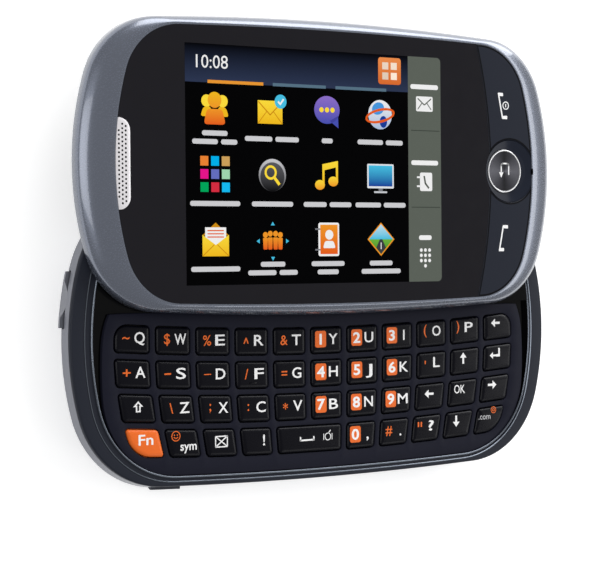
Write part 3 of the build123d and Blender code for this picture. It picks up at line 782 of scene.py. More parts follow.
    def words(self, x, y, lengths, colour, layer=0):
        """Row of rounded bars, one in the place of each word."""
        edge = x - (sum(lengths) + WORD_GAP * (len(lengths) - 1)) / 2
        for length in lengths:
            self.box(edge + length / 2, y, length, WORD_HEIGHT, colour, layer,
                     corner=WORD_CORNER)
            edge += length + WORD_GAP


# ------------------------------------------------------------------- keypad
def bowed(x, y):
    """Point moved up onto its row's smile-shaped arc."""
    half = COLUMN_PITCH[0] * COLUMNS / 2
    return (KEYBOARD_X + x, y + ROW_BOW * (x / half) ** 2)


def row_y(row):
    """Middle height of a key row, on the phone's centre line."""
    return ROW_TOP_Y - ROW_PITCH * row


def key_places():
    """Every key as name, row, first column and number of columns."""
    places = []
    for row, names in enumerate(KEY_ROWS):
        column = 0
        for name in names:
            span = WIDE_KEYS.get(name, 1)
            places.append((name, row, column, span))
            column += span
    return places


def key_centre(row, column, span):
    """Middle of a key."""
    return bowed((column + span / 2 - COLUMNS / 2) * COLUMN_PITCH[row], row_y(row))


def key_loop(bm, place, corner, inset, z):
    """Edge loop of one key, moved in by inset from its opening in the panel."""
    _, row, column, span = place
    radii = [corner] * 4
    if (row, column) in BIG_CORNERS:
        which, radius = BIG_CORNERS[row, column]
        radii[which] = radius
    first = column - COLUMNS / 2
    last = first + span
    lean = COLUMN_LEAN[row] / 2
    low_pitch = COLUMN_PITCH[row] - lean
    high_pitch = COLUMN_PITCH[row] + lean
    side = WEB_X / 2 + inset
    rise = (ROW_PITCH - WEB_Y) / 2 - inset
    corners = (
        bowed(first * low_pitch + side, row_y(row) - rise),
        bowed(last * low_pitch - side, row_y(row) - rise),
        bowed(last * high_pitch - side, row_y(row) + rise),
        bowed(first * high_pitch + side, row_y(row) + rise),
    )
    return polygon_loop(bm, corners, [max(radius - inset, KEY_LEAST_CORNER) for radius in radii],
                        z, KEY_CORNER_STEPS)


def panel_loop(bm, inset, z):
    """Edge loop of the keypad panel: bulged ends and a straight top with small corners."""
    cuts = [((0, PANEL_TOP_Y - inset, z), (0, 1, 0))]
    return cut_loop(bm, PANEL, inset, z, cuts, PANEL_TOP_CORNER - inset)


def mirrored(tip, *side):
    """Corners of a shape from its tip down one side and up the other."""
    return [tip, *side, *[(-x, y) for x, y in side[::-1]]]


def draw_sign(canvas, name, white, orange, height):
    """Sign of a key that has no letter."""
    if name in ARROW_TURNS:
        canvas.arrow(0, 0, ARROW_REACH, white, turn=ARROW_TURNS[name])
    elif name == "enter":
        canvas.arrow(-0.5, -0.35, 0.9, white, turn=180)
        canvas.bar((1.0, -0.6), (1.0, 1.1), 0.42, white)
        canvas.bar((0.3, -0.35), (1.2, -0.35), 0.5, white, layer=1)
    elif name == "shift":
        canvas.polygon(mirrored((0, 1.1), (1.0, 0.1), (0.47, 0.1), (0.47, -0.85)), white)
        canvas.polygon(mirrored((0, 0.72), (0.4, 0.32), (0.2, 0.32), (0.2, -0.6)), KEY_INK,
                       layer=1)
    elif name == "fn":
        canvas.text("Fn", 0, 0.4, height * 0.95, white, bold=0.035, middle=False, width=3.0)
    elif name == "ok":
        canvas.text("OK", -0.3, 0.1, height * 0.85, white, bold=0.01, middle=False, width=2.7)
    elif name == "sym":
        canvas.text("sym", 0.9, -0.7, height * 0.8, white, bold=0.03, middle=False)
        canvas.ring(-1.7, 1.15, 0.85, 0.16, orange)
        for side in (-1, 1):
            canvas.disc(-1.7 + side * 0.3, 1.35, 0.13, orange, steps=10)
        canvas.path([(-2.15, 1.0), (-1.7, 0.7), (-1.25, 1.0)], 0.16, orange)
    elif name == "mail":
        corners = [(-1.25, -0.95), (1.25, -0.95), (1.25, 0.95), (-1.25, 0.95)]
        canvas.path([*corners, corners[0], corners[2]], 0.22, white)
        canvas.bar(corners[1], corners[3], 0.2, white, layer=1)
    elif name == "space":
        canvas.path([(-2.3, 0.25), (-2.3, -0.4), (0.7, -0.4), (0.7, 0.25)], 0.3, white)
        canvas.ring(3.9, 0, 0.65, 0.16, white, steps=20)
        for side in (-1, 1):
            canvas.bar((3.9 + side * 0.95, -0.6), (3.9 + side * 0.95, 0.6), 0.14, white)
        canvas.bar((4.0, 0.6), (4.5, 1.2), 0.2, white)
    elif name == "at":
        canvas.text(".com", -0.5, -0.2, height * 0.62, PALE_GREY, width=3.0)
        canvas.ring(1.8, 1.2, 0.6, 0.14, orange, steps=20)
        canvas.ring(1.8, 1.2, 0.24, 0.14, orange, steps=14)


def draw_legend(canvas, place, white, orange, height):
    """Print on one key: letter, second symbol, digit badge or sign."""
    name, row, column, span = place
    x, y = key_centre(row, column, span)
    shift_x, shift_y = LEGEND_SHIFT.get(column, (0.0, LETTER_Y))
    canvas.move(x + shift_x, y + shift_y)
    if name == "quote":
        for side in (-1, 1):
            canvas.box(SYMBOL_X + side * 0.35, 0.3, 0.34, 0.95, orange)
    elif name in SYMBOLS:
        canvas.text(SYMBOLS[name], SYMBOL_X, 0, height * SYMBOL_SHARE, orange, bold=SYMBOL_BOLD,
                    width=SYMBOL_WIDTHS.get(name))
    elif name in DIGITS:
        canvas.box(BADGE_X, 0, *BADGE_SIZE, orange, corner=BADGE_CORNER)
        canvas.text(DIGITS[name], BADGE_X, 0, height, white, layer=1, wide=DIGIT_WIDE,
                    bold=DIGIT_BOLD)
    if len(name) == 1 or name in PUNCTUATION:
        canvas.text(PUNCTUATION.get(name, name.upper()), LETTER_X, 0, height, white,
                    bold=PUNCTUATION_BOLD if name in PUNCTUATION else LETTER_BOLD, middle=False,
                    width=LETTER_WIDTHS.get(name, LETTER_WIDTH))
    else:
        draw_sign(canvas, name, white, orange, height)


# ------------------------------------------------------------------ picture
def people_icon(canvas):
    """Two people behind one."""
    for side in (-1, 1):
        canvas.disc(side * 1.75, 1.3, 1.15, YELLOW, other=YELLOW)
        canvas.polygon([(side * 3.1, -1.6), (side * 0.6, -1.6), (side * 0.9, 0.3),
                        (side * 2.5, 0.1)][::side], GOLD, corner=0.5)
    canvas.disc(0, 1.5, 1.5, ORANGE, layer=1, other=GOLD)
    canvas.polygon([(-2.4, -3.1), (2.4, -3.1), (1.7, -0.2), (-1.7, -0.2)], DEEP_ORANGE, layer=1,
                   corner=0.7, other=ORANGE)


def letter_icon(canvas):
    """Letter with a round badge."""
    canvas.box(-0.4, -0.4, 5.6, 4.4, GOLD, other=YELLOW)
    canvas.path([(-3.1, 1.6), (-0.4, -0.9), (2.3, 1.6)], 0.22, AMBER, 1)
    for start, end in (((-3.1, -2.5), (-1.2, -0.3)), ((2.3, -2.5), (0.4, -0.3))):
        canvas.bar(start, end, 0.16, AMBER, 1)
    canvas.disc(2.0, 1.7, 1.35, CYAN, layer=2)
    canvas.path([(1.4, 1.7), (1.9, 1.2), (2.7, 2.2)], 0.35, WHITE, 3)


def bubble_icon(canvas):
    """Speech bubble with three dots."""
    canvas.disc(0, 0.5, 3.0, VIOLET, other=PURPLE, tall=0.9)
    canvas.polygon([(0.6, -1.6), (2.7, -3.0), (2.6, -0.6)], VIOLET)
    for shift in (-1.3, 0, 1.3):
        canvas.disc(shift, 0.5, 0.5, YELLOW, layer=1)


def globe_icon(canvas):
    """Globe with an orange orbit."""
    canvas.disc(0, 0, 2.9, srgb(170, 190, 220), other=WHITE)
    canvas.disc(-0.5, 1.2, 1.5, BLUE, layer=1, tall=0.8, turn=20)
    canvas.disc(0.8, -1.4, 0.9, DEEP_BLUE, layer=1, tall=1.3)
    canvas.ring(0, -0.2, 3.4, 0.5, DEEP_ORANGE, layer=2, tall=0.34, turn=12)


def squares_icon(canvas):
    """Nine squares."""
    for i, colour in enumerate(SQUARES):
        canvas.box((i % 3 - 1) * 2.35, (1 - i // 3) * 2.45, 1.75, 1.8, colour)


def magnifier_icon(canvas):
    """Round badge with a magnifier."""
    canvas.disc(0, 0, 3.1, CHARCOAL, other=SILVER)
    canvas.disc(0, -0.3, 2.75, NEAR_BLACK, layer=1, other=srgb(90, 90, 94))
    canvas.ring(-0.4, 0.5, 1.15, 0.45, YELLOW, layer=2)
    canvas.bar((0.4, -0.4), (1.6, -1.8), 0.6, YELLOW, layer=2)


def notes_icon(canvas):
    """Two notes under one beam."""
    canvas.polygon([(-1.2, -1.7), (-0.7, -1.7), (-0.7, 1.15), (2.0, 1.75), (2.0, -1.0),
                    (2.5, -1.0), (2.5, 3.0), (-1.2, 2.3)], GOLD, other=YELLOW)
    for x, y in ((-1.8, -1.7), (1.35, -1.0)):
        canvas.disc(x, y, 1.15, ORANGE, layer=1, tall=0.83, other=YELLOW)


def monitor_icon(canvas):
    """Monitor on its foot."""
    canvas.box(0, 0.2, 6.5, 4.8, PEARL, corner=0.25)
    canvas.box(0, 0.25, 5.8, 4.1, DEEP_BLUE, layer=1, other=CYAN)
    canvas.box(0, -2.5, 1.0, 0.6, GREY)
    canvas.box(0, -2.95, 3.2, 0.35, STEEL, corner=0.1)


def open_letter_icon(canvas):
    """Open letter with a written sheet."""
    canvas.polygon([(-2.9, 0.8), (0, 3.2), (2.9, 0.8)], AMBER)
    canvas.box(0, 0.5, 4.6, 3.6, WHITE, layer=1)
    for i in range(3):
        canvas.box(0, 1.7 - i * 0.6, 3.6, 0.22, DEEP_ORANGE, layer=2)
    canvas.polygon([(-2.9, -3.1), (2.9, -3.1), (2.9, 0.9), (0, -1.0), (-2.9, 0.9)], GOLD,
                   layer=3, other=YELLOW)
    for side in (-1, 1):
        canvas.bar((side * 2.8, -3.0), (side * 0.3, -0.9), 0.16, AMBER, 4)


def figures_icon(canvas):
    """Row of figures with four pointers."""
    for x, size in ((-1.7, 0.8), (-0.6, 1.0), (0.6, 1.0), (1.7, 0.8)):
        canvas.disc(x, 1.1 * size, 0.55, ORANGE, layer=1)
        canvas.polygon([(x - 0.45, -1.9), (x + 0.45, -1.9), (x + 0.55, 0.4 * size),
                        (x - 0.55, 0.4 * size)], DEEP_ORANGE, corner=0.2, other=ORANGE)
    for turn in range(0, 360, 90):
        heading = Matrix.Rotation(math.radians(turn), 2)
        points = [heading @ Vector(point) for point in ((3.7, 0), (3.0, 0.45), (3.0, -0.45))]
        canvas.polygon([(p.x, p.y - 0.3) for p in points], CYAN)


def book_icon(canvas):
    """Address book."""
    canvas.box(0.2, 0, 4.9, 6.5, WHITE, corner=0.4)
    canvas.box(0.25, 0, 4.1, 5.7, DEEP_ORANGE, layer=1, other=ORANGE)
    canvas.disc(0.3, 0.9, 0.95, WHITE, layer=2)
    canvas.polygon([(-1.2, -1.7), (1.8, -1.7), (1.3, -0.3), (-0.7, -0.3)], WHITE, layer=2,
                   corner=0.4)
    for side in (-1, 1):
        canvas.box(-2.4, side * 2.0, 1.2, 0.3, GREY, layer=1)


def road_icon(canvas):
    """Diamond sign with a road."""
    canvas.polygon([(-3.3, 0), (0, -3.3), (3.3, 0), (0, 3.3)], ORANGE)
    canvas.polygon([(-2.95, 0), (2.95, 0), (0, 2.95)], CYAN, layer=1, other=srgb(190, 225, 240))
    canvas.polygon([(-2.95, 0), (0, -2.95), (2.95, 0)], DARK_GREEN, layer=1, other=GREEN)
    canvas.polygon([(-1.2, -1.7), (0, -2.9), (1.2, -1.7), (0.3, 0), (-0.3, 0)], ROAD, layer=2)
    canvas.box(0, -1.3, 0.2, 1.3, WHITE, layer=3)


ICONS = (
    (people_icon, letter_icon, bubble_icon, globe_icon),
    (squares_icon, magnifier_icon, notes_icon, monitor_icon),
    (open_letter_icon, figures_icon, book_icon, road_icon),
)


def draw_icons(canvas):
    """Twelve menu icons, four to a row."""
    for y, icons in zip(ICON_ROWS, ICONS):
        for x, icon in zip(ICON_COLUMNS, icons):
            canvas.move(x, y)
            icon(canvas)


def draw_captions(canvas):
    """Bars in the places of the menu's captions, and a clock in its title bar."""
    for column, row, rise, lengths in CAPTIONS:
        canvas.words(ICON_COLUMNS[column], ICON_ROWS[row] - CAPTION_DROP + rise, lengths,
                     PALE_GREY, layer=1)
    canvas.text("10:08", -24.1, 19.2, 2.4, WHITE, layer=1)


def draw_ground(canvas):
    """Black ground, a title bar with three tabs and a tile of four squares, and the strip."""
    middle, width = (STRIP_LEFT - SCREEN_SIDE) / 2, STRIP_LEFT + SCREEN_SIDE
    canvas.box(middle, 0, width, 2 * SCREEN_RISE, BLACK)
    canvas.box(middle, 18.9, width, 7.2, srgb(44, 54, 80), 1, other=srgb(4, 4, 6))
    for x, length, colour in ((-18.9, 12.4, TAB_ORANGE), (-4.4, 12.3, SLATE_BLUE),
                              (10.2, 12.3, SLATE_BLUE)):
        canvas.box(x, 15.5, length, 0.6, colour, 2)
    canvas.box(17.2, 19.3, 5.6, 5.3, srgb(215, 105, 45), 2, corner=0.6, other=srgb(235, 140, 75))
    for side, rise, shade in ((-1, 1, 235), (1, 1, 245), (-1, -1, 225), (1, -1, 255)):
        canvas.box(17.2 + side * 1.05, 19.3 + rise, 1.5, 1.4,
                   srgb(shade, shade - 20, shade - 40), 3)
    draw_strip(canvas)


def draw_strip(canvas):
    """Grey side strip with three cells: message, contacts and dial pad."""
    canvas.polygon([(STRIP_LEFT, -SCREEN_RISE), (SCREEN_SIDE, -SCREEN_RISE),
                    (SCREEN_SIDE, SCREEN_RISE), (STRIP_LEFT, SCREEN_RISE)], STRIP_GREY,
                   corner=STRIP_CORNER, round_corners=(1, 2))
    canvas.move(STRIP_MIDDLE, 0)
    for y in (7.75, -7.6):
        canvas.box(0.2, y, 7.2, 0.16, STRIP_LINE, layer=1)
    for y, length in ((16.5, 7.0), (1.3, 6.8), (-13.7, 3.2)):
        canvas.words(0, y, (length,), WHITE, layer=1)
    canvas.box(0, 13.1, 4.2, 3.0, WHITE, layer=1, corner=0.3)
    for side in (-1, 1):
        canvas.bar((0, 12.9), (side * 1.7, 14.2), 0.25, STRIP_GREY, layer=2)
        canvas.bar((side * 0.6, 13.3), (side * 1.7, 12.0), 0.2, STRIP_GREY, layer=2)
    canvas.box(0.3, -2.5, 3.1, 3.7, WHITE, layer=1, corner=0.35)
    for y in (-1.6, -3.4):
        canvas.box(-1.5, y, 1.0, 0.35, WHITE, layer=1)
    canvas.path([(-0.2, -1.3), (0.1, -2.8), (1.0, -3.8)], 0.4, STRIP_GREY, 2)
    pad = [(column * 1.05, -16.2 - row * 1.05) for row in range(3) for column in (-1, 0, 1)]
    for x, y in (*pad, (0, -19.35)):
        canvas.disc(x, y, 0.36, WHITE, layer=1, steps=14)


# Layers of the picture from below: name, what draws it and how many layers it lies up.
PICTURE = (("ground", draw_ground, 0), ("icons", draw_icons, 1), ("captions", draw_captions, 1))


def to_slider(bm):
    """Moves a drawing from the picture's layout to its place on the slider."""
    bmesh.ops.transform(bm, verts=bm.verts, matrix=Matrix.Translation((SLIDER_X, SLIDER_Y, 0))
                        @ Matrix.Diagonal((LAYOUT, LAYOUT, 1, 1)))


# --------------------------------------------------------------- operators
class PHONE_OT_bezel(bpy.types.Operator):
    """Metallic frame of the slider: foot, upright wall, ridge and slope to the window"""
    bl_idname = "phone.bezel"
    bl_label = "Bezel"

    def execute(self, context):
        sizes, colours = context.scene.phone_sizes, context.scene.phone_colours
        bm = bmesh.new()
        ridge_z, rim_z = GLASS_TOP - RIDGE_DROP, GLASS_TOP - WINDOW_RIM_DROP
        foot = plan_loop(bm, SLIDER, 0.0, SLIDER_FOOT)
        loops = [foot]
        for step in range(RIDGE_STEPS):
            share = step / RIDGE_STEPS
            z = ((1 - share) ** 2 * (ridge_z - sizes.ridge_round / MM)
                 + 2 * share * (1 - share) * ridge_z
                 + share ** 2 * self.slope(RIDGE_SHARE, ridge_z, rim_z))
            loops.append(self.blended(bm, RIDGE_SHARE * share ** 2, z))
        for step in range(BEZEL_STEPS + 1):
            share = RIDGE_SHARE + (1 - RIDGE_SHARE) * step / BEZEL_STEPS
            loops.append(self.blended(bm, share, self.slope(share, ridge_z, rim_z)))
        rim = loops[-1]
        inside = (
            (WINDOW, -STEP, rim_z - STEP), (WINDOW, 0.0, GLASS_SEAT + STEP),
            (WINDOW, BEZEL_WALL, GLASS_SEAT), (WINDOW, BEZEL_WALL, GLASS_TOP - SHELF_DROP),
            (SLIDER, BEZEL_WALL, SLIDER_FOOT + CAVITY_HEIGHT),
            (SLIDER, BEZEL_WALL, SLIDER_FOOT + STEP),
        )
        skin(bm, loops + [plan_loop(bm, *section) for section in inside], closed=True)
        rounded(bm, foot, BEZEL_FOOT_ROUND, 3)
        rounded(bm, rim, BEZEL_RIM_ROUND, 3)
        paint = painted("bezel_paint", colours.bezel, 0.27, metallic=0.62, specular=0.8, coat=0.9,
                        grain=4000.0, mottle=0.03, bump=0.004, roughness_spread=0.025)
        piece(bm, "bezel", "slider", [paint], ["slider_frame"])
        self.mouthpiece()
        return {"FINISHED"}

    def mouthpiece(self):
        """Small dark block in the slot between the window and the frame: painted shade that stands
        in for the slot's dark inside.
        """
        bm = bmesh.new()
        place = Matrix.Translation((SLIDER_X + WINDOW.length / 2 + MOUTHPIECE_SHIFT, SLIDER_Y,
                                    GLASS_TOP - MOUTHPIECE[2] / 2 + MOUTHPIECE_RISE))
        bmesh.ops.create_cube(bm, size=1.0, matrix=place @ Matrix.Diagonal((*MOUTHPIECE, 1)))
        rounded(bm, list(bm.edges), MOUTHPIECE_ROUND, 2)
        # Near-black box: painted shade where the slot is.
        dark = painted("mouth_hole_painted_shade", srgb(5, 5, 6), 0.9, specular=0.0)
        piece(bm, "mouth_hole_painted_shade", "slider", [dark])

    def slope(self, share, ridge_z, rim_z):
        """Height of the crowned slope, from its ridge at 0 to the window's rim at 1."""
        return ridge_z + (rim_z - ridge_z) * (share + BEZEL_CROWN * share * (1 - share))

    def blended(self, bm, share, z):
        """Edge loop part of the way from the slider's outline to the window's rim."""
        return plan_loop(bm, between(SLIDER, WINDOW, share), -WINDOW_RIM * share, z)


class PHONE_OT_window(bpy.types.Operator):
    """Black front window with the dished surround of the back key"""
    bl_idname = "phone.window"
    bl_label = "Window"

    def execute(self, context):
        colours = context.scene.phone_colours
        gloss = painted("window_gloss", colours.window, 0.14, specular=0.1, grain=300.0,
                        mottle=0.02, bump=0.0)
        middle = middle_mm("back_key")
        dish = Vector((middle.x + DISH_SHIFT, middle.y, GLASS_TOP))
        tint(gloss, distance_to(gloss, dish), DISH_REACH, srgb(33, 37, 48))
        refinish("touch_window", gloss)
        refinish("display_module", painted("display_back", srgb(10, 10, 12), 0.4))
        return {"FINISHED"}


class PHONE_OT_screen(bpy.types.Operator):
    """Lit picture: title bar, icons, captions and side strip"""
    bl_idname = "phone.screen"
    bl_label = "Screen"

    def execute(self, context):
        thick = context.scene.phone_sizes.picture_thick / MM / LAYOUT
        lit = printed("lit_picture", 0.6, roughness=0.14, specular=0.02)
        for name, draw, layers in PICTURE:
            bm = bmesh.new()
            draw(Canvas(bm, GLASS_TOP + layers * thick, thick))
            bmesh.ops.translate(bm, verts=bm.verts, vec=(SCREEN_X, 0, 0))
            to_slider(bm)
            piece(bm, "screen_" + name, "slider", [lit], sharp=20.0)
        return {"FINISHED"}


class PHONE_OT_front_keys(bpy.types.Operator):
    """Call key, end key and round back key, with their signs"""
    bl_idname = "phone.front_keys"
    bl_label = "Front keys"

    def execute(self, context):
        sizes, colours = context.scene.phone_sizes, context.scene.phone_colours
        satin = painted("front_key_satin", colours.front_key, 0.3, specular=0.1, grain=3000.0,
                        mottle=0.03, bump=0.005)
        ink = printed("front_key_print", 0.0)
        dark = painted("key_line", srgb(8, 8, 12), 0.5, specular=0.05)
        white = tuple(colours.legend)
        thick = sizes.legend_thick / MM
        for node in ("end_key", "call_key"):
            refinish(node, satin)
            bm = bmesh.new()
            canvas = Canvas(bm, high_mm(node).z, thick)
            canvas.move(SIGN_X, SIGN_Y[node])
            self.handset(canvas, SIGN_LEAN[node], white)
            if node == "end_key":
                canvas.ring(0.9, 0.1, 0.75, 0.2, white, layer=2)
                canvas.bar((0.9, -0.25), (0.9, 0.45), 0.2, white, layer=2)
            to_slider(bm)
            piece(bm, node + "_sign", node, [ink])
            self.outline(node, dark)
        self.back_key(white, ink, thick)
        return {"FINISHED"}

    def handset(self, canvas, lean, white):
        """Leaning handset with its two ends."""
        canvas.polygon([(-0.65 - lean, 2.6), (-0.3 - lean, 2.6), (-0.3 + lean, -2.6),
                        (-0.65 + lean, -2.6)], white)
        for end in (-1, 1):
            shift = -lean * end
            points = [(-0.5 + shift, end * 2.05), (0.75 + shift, end * 2.0),
                      (0.75 + shift, end * 2.7), (-0.65 + shift, end * 2.7)]
            canvas.polygon(points[::end], white, layer=1, corner=0.15)

    def outline(self, node, dark):
        """Fine dark line along the edge of a key's face."""
        bm = bmesh.new()
        bm.from_mesh(frame["nodes"][node].data)
        bmesh.ops.remove_doubles(bm, verts=bm.verts, dist=1e-7)
        top = max(vert.co.z for vert in bm.verts)
        sides = [face for face in bm.faces
                 if min(vert.co.z for vert in face.verts) < top - KEY_LINE_THICK * MM]
        bmesh.ops.delete(bm, geom=sides, context="FACES")
        bmesh.ops.dissolve_limit(bm, angle_limit=0.01, verts=bm.verts, edges=bm.edges)
        inner = list(bm.faces)
        bmesh.ops.inset_region(bm, faces=inner, thickness=KEY_LINE * MM, use_boundary=True,
                               use_even_offset=True)
        bmesh.ops.delete(bm, geom=inner, context="FACES")
        raised(bm, list(bm.faces), KEY_LINE_THICK * MM)
        scaled(bm, 1 / MM)
        piece(bm, node + "_line", node, [dark])

    def back_key(self, white, ink, thick):
        """Round key turned from its profile, with a bright ring and a turn-back sign."""
        x, y, _ = middle_mm("back_key")
        top = high_mm("back_key").z
        reach = high_mm("back_key").x - x
        ring_in = reach - RING_WIDTH
        profile = ((0.0, 0.18), (ring_in * 0.5, 0.16), (ring_in, 0.09), (ring_in + 0.04, 0.02),
                   (ring_in + 0.1, 0.0), (reach - 0.1, 0.0), (reach - 0.03, 0.04), (reach, 0.14),
                   (reach, DISC_THICK), (0.0, DISC_THICK))
        bm = bmesh.new()
        verts = [bm.verts.new((x + away, y, top - drop)) for away, drop in profile]
        edges = [bm.edges.new(pair) for pair in zip(verts, verts[1:])]
        bmesh.ops.spin(bm, geom=[*verts, *edges], cent=(x, y, 0), axis=(0, 0, 1),
                       angle=math.tau, steps=DISC_STEPS, use_merge=True)
        bmesh.ops.remove_doubles(bm, verts=bm.verts, dist=1e-4)
        for face in bm.faces:
            middle = face.calc_center_median()
            away = math.hypot(middle.x - x, middle.y - y)
            face.material_index = 1 if away > ring_in and middle.z > top - RING_DROP else 0
        bright = painted("bright_ring", srgb(228, 228, 230), 0.2, metallic=0.7, grain=2000.0,
                         mottle=0.03)
        piece(bm, "round_key", "back_key", [spun_metal_with_painted_glints("spun_disc"), bright],
              ["back_key"], sharp=30.0)
        bm = bmesh.new()
        canvas = Canvas(bm, top - DISC_DROP, thick)
        canvas.move(x, y)
        bend = [(0.8 + turn * 0.35, 1.15 + rise * 0.35) for turn, rise in BEND]
        bend += [(-0.4 - turn * 0.35, 1.15 + rise * 0.35) for turn, rise in BEND[::-1]]
        canvas.path([(1.15, -0.7), *bend, (-0.75, -0.3)], 0.28, white)
        canvas.polygon([(-1.3, -0.2), (-0.75, -1.3), (-0.2, -0.2)], white)
        piece(bm, "round_key_sign", "back_key", [ink])


class PHONE_OT_grille(bpy.types.Operator):
    """Silver earpiece plate with rows of sound holes"""
    bl_idname = "phone.grille"
    bl_label = "Earpiece grille"

    def execute(self, context):
        sizes, colours = context.scene.phone_sizes, context.scene.phone_colours
        low, high = low_mm("earpiece_grille"), high_mm("earpiece_grille")
        bm = bmesh.new()
        sections = ((GRILLE_EDGE, high.z), (GRILLE_EDGE * 0.3, high.z - GRILLE_EDGE * 0.3),
                    (0.0, high.z - GRILLE_EDGE), (0.0, low.z))
        outlines = [[self.plate_loop(bm, low, high, inset, z) for inset, z in sections]]
        for x, y in self.hole_places(low, high, sizes.hole_radius / MM, sizes.hole_pitch / MM):
            outlines.append([self.hole_loop(bm, x, y, z, sizes.hole_radius / MM)
                             for z in (high.z, low.z)])
        # The walls of the sound holes are painted near-black: painted shade inside the holes.
        for faces in sheet(bm, outlines)[len(sections) - 1:]:
            for face in faces:
                face.material_index = 1
        silver = painted("grille_silver", colours.grille, 0.32, metallic=0.2, grain=1200.0,
                         mottle=0.03)
        dark = painted("hole_painted_shade", srgb(6, 6, 8), 0.8, specular=0.0)
        piece(bm, "grille_plate", "slider", [silver, dark],
              ["earpiece_grille"])
        return {"FINISHED"}

    def hole_places(self, low, high, radius, pitch):
        """Middles of the holes that the plate's bowed edge leaves room for."""
        arc_x = WINDOW.x - WINDOW.length / 2 + WINDOW.end
        reach = WINDOW.end - GRILLE_EDGE - HOLE_RIM - radius
        rows = int((high.y - low.y - 2 * HOLE_MARGIN_Y) / pitch)
        places = []
        for column in range(HOLE_COLUMNS):
            count = rows + column % 2
            x = high.x - HOLE_MARGIN_X - column * HOLE_COLUMN_PITCH
            for i in range(count):
                y = (low.y + high.y) / 2 + (i - (count - 1) / 2) * pitch
                if math.hypot(x - arc_x, y - WINDOW.y) < reach:
                    places.append((x, y))
        return places

    def hole_loop(self, bm, x, y, z, radius):
        """Round edge loop."""
        old = set(bm.edges)
        bmesh.ops.create_circle(bm, segments=HOLE_SIDES, radius=radius,
                                matrix=Matrix.Translation((x, y, z)))
        return [edge for edge in bm.edges if edge not in old]

    def plate_loop(self, bm, low, high, inset, z):
        """Window's edge on the left, and a straight side with round corners on the right."""
        cuts = [((high.x - inset, 0, z), (1, 0, 0)), ((0, high.y - inset, z), (0, 1, 0)),
                ((0, low.y + inset, z), (0, -1, 0))]
        return cut_loop(bm, WINDOW, GRILLE_FIT + inset, z, cuts, GRILLE_CORNER - inset)


class PHONE_OT_deck(bpy.types.Operator):
    """Slate band, groove, bright bead and glossy recess round the keypad"""
    bl_idname = "phone.deck"
    bl_label = "Deck"

    def execute(self, context):
        colours = context.scene.phone_colours
        slate = painted("slate_band", colours.band, 0.42, specular=0.12, grain=2600.0, mottle=0.05)
        bright = painted("bead_metal", colours.bead, 0.25, metallic=0.8, grain=2600.0,
                         mottle=0.04)
        gloss = painted("recess_gloss", srgb(5, 5, 6), 0.1, specular=0.15, grain=300.0,
                        mottle=0.02, bump=0.0)
        self.rim(slate)
        self.bead(bright, slate, gloss)
        recess_z = DECK_TOP - RECESS_DEPTH
        bm = bmesh.new()
        sheet(bm, [[plan_loop(bm, BEAD, BEAD_THICK + RECESS_FIT, z)
                    for z in (recess_z, DECK_FOOT)],
                   [panel_loop(bm, 0.0, z) for z in (recess_z, DECK_FOOT)]])
        piece(bm, "deck_recess", "base", [gloss], ["deck_band"])
        bm = bmesh.new()
        face = filled(bm, plan_loop(bm, BEAD, BEAD_THICK + 2 * RECESS_FIT, recess_z))
        face = trimmed(bm, face, (0, RECESS_TOP_Y, 0), (0, -1, 0))
        raised(bm, [face], RECESS_DEPTH)
        piece(bm, "deck_floor", "base", [gloss], ["deck_band"])
        return {"FINISHED"}

    def rim(self, slate):
        """Band from the shell's seam over its round shoulder to the groove."""
        seam, groove_floor = DECK_TOP - SHELL_DROP, DECK_TOP - GROOVE_DEPTH
        sections = [(DECK_INSET, DECK_FOOT), (DECK_INSET, seam + STEP),
                    (SHOULDER_INSET + SEAM_CHAMFER, seam), (SHOULDER_INSET, seam + SEAM_CHAMFER),
                    *arc_sections(SHOULDER_INSET, DECK_TOP, DECK_ROUND, DECK_ROUND, 90, 15)]
        groove = ((-LIP_REACH - 0.06, DECK_TOP - STEP), (-LIP_REACH, DECK_TOP - 0.08),
                  (-LIP_REACH, groove_floor), (-LIP_REACH, DECK_FOOT + STEP))
        bm = bmesh.new()
        skin(bm, [plan_loop(bm, BASE, *section) for section in sections]
             + [plan_loop(bm, LIP, *section) for section in groove], closed=True)
        piece(bm, "deck_rim", "base", [slate], ["deck_band"])

    def bead(self, bright, slate, gloss):
        """Bright outer lip, dark strip, bright bead and the recess's upright wall."""
        groove_floor = DECK_TOP - GROOVE_DEPTH
        sections = [(LIP, -LIP_REACH, DECK_FOOT), (LIP, -LIP_REACH, groove_floor),
                    (LIP, -LIP_BACK, groove_floor + STEP), (LIP, -LIP_BACK, DECK_TOP - 0.06),
                    (LIP, -0.05, DECK_TOP), (LIP, 0.08, DECK_TOP + STEP),
                    (LIP, 0.16, DECK_TOP - 0.06), (LIP, 0.18, DECK_TOP - 0.3),
                    (BEAD, BEAD_THICK - 2 * BEAD_CREST, DECK_TOP - 0.32)]
        outer_crest, strip = range(3, 6), range(6, 8)
        inner_crest = range(len(sections) - 1, len(sections) + 6)
        sections += [(BEAD, *section) for section in arc_sections(
            BEAD_THICK - 2 * BEAD_CREST, DECK_TOP, BEAD_CREST, BEAD_CREST, 180, 30)]
        sections += [(BEAD, BEAD_THICK, DECK_TOP - RECESS_DEPTH),
                     (BEAD, BEAD_THICK, DECK_FOOT + STEP)]
        bm = bmesh.new()
        walls = skin(bm, [plan_loop(bm, *section) for section in sections], closed=True)
        for level, faces in enumerate(walls):
            crest = level in outer_crest or level in inner_crest
            for face in faces:
                face.material_index = 0 if crest else 1 if level in strip else 2
        piece(bm, "deck_bead", "base", [bright, slate, gloss], ["deck_band"])


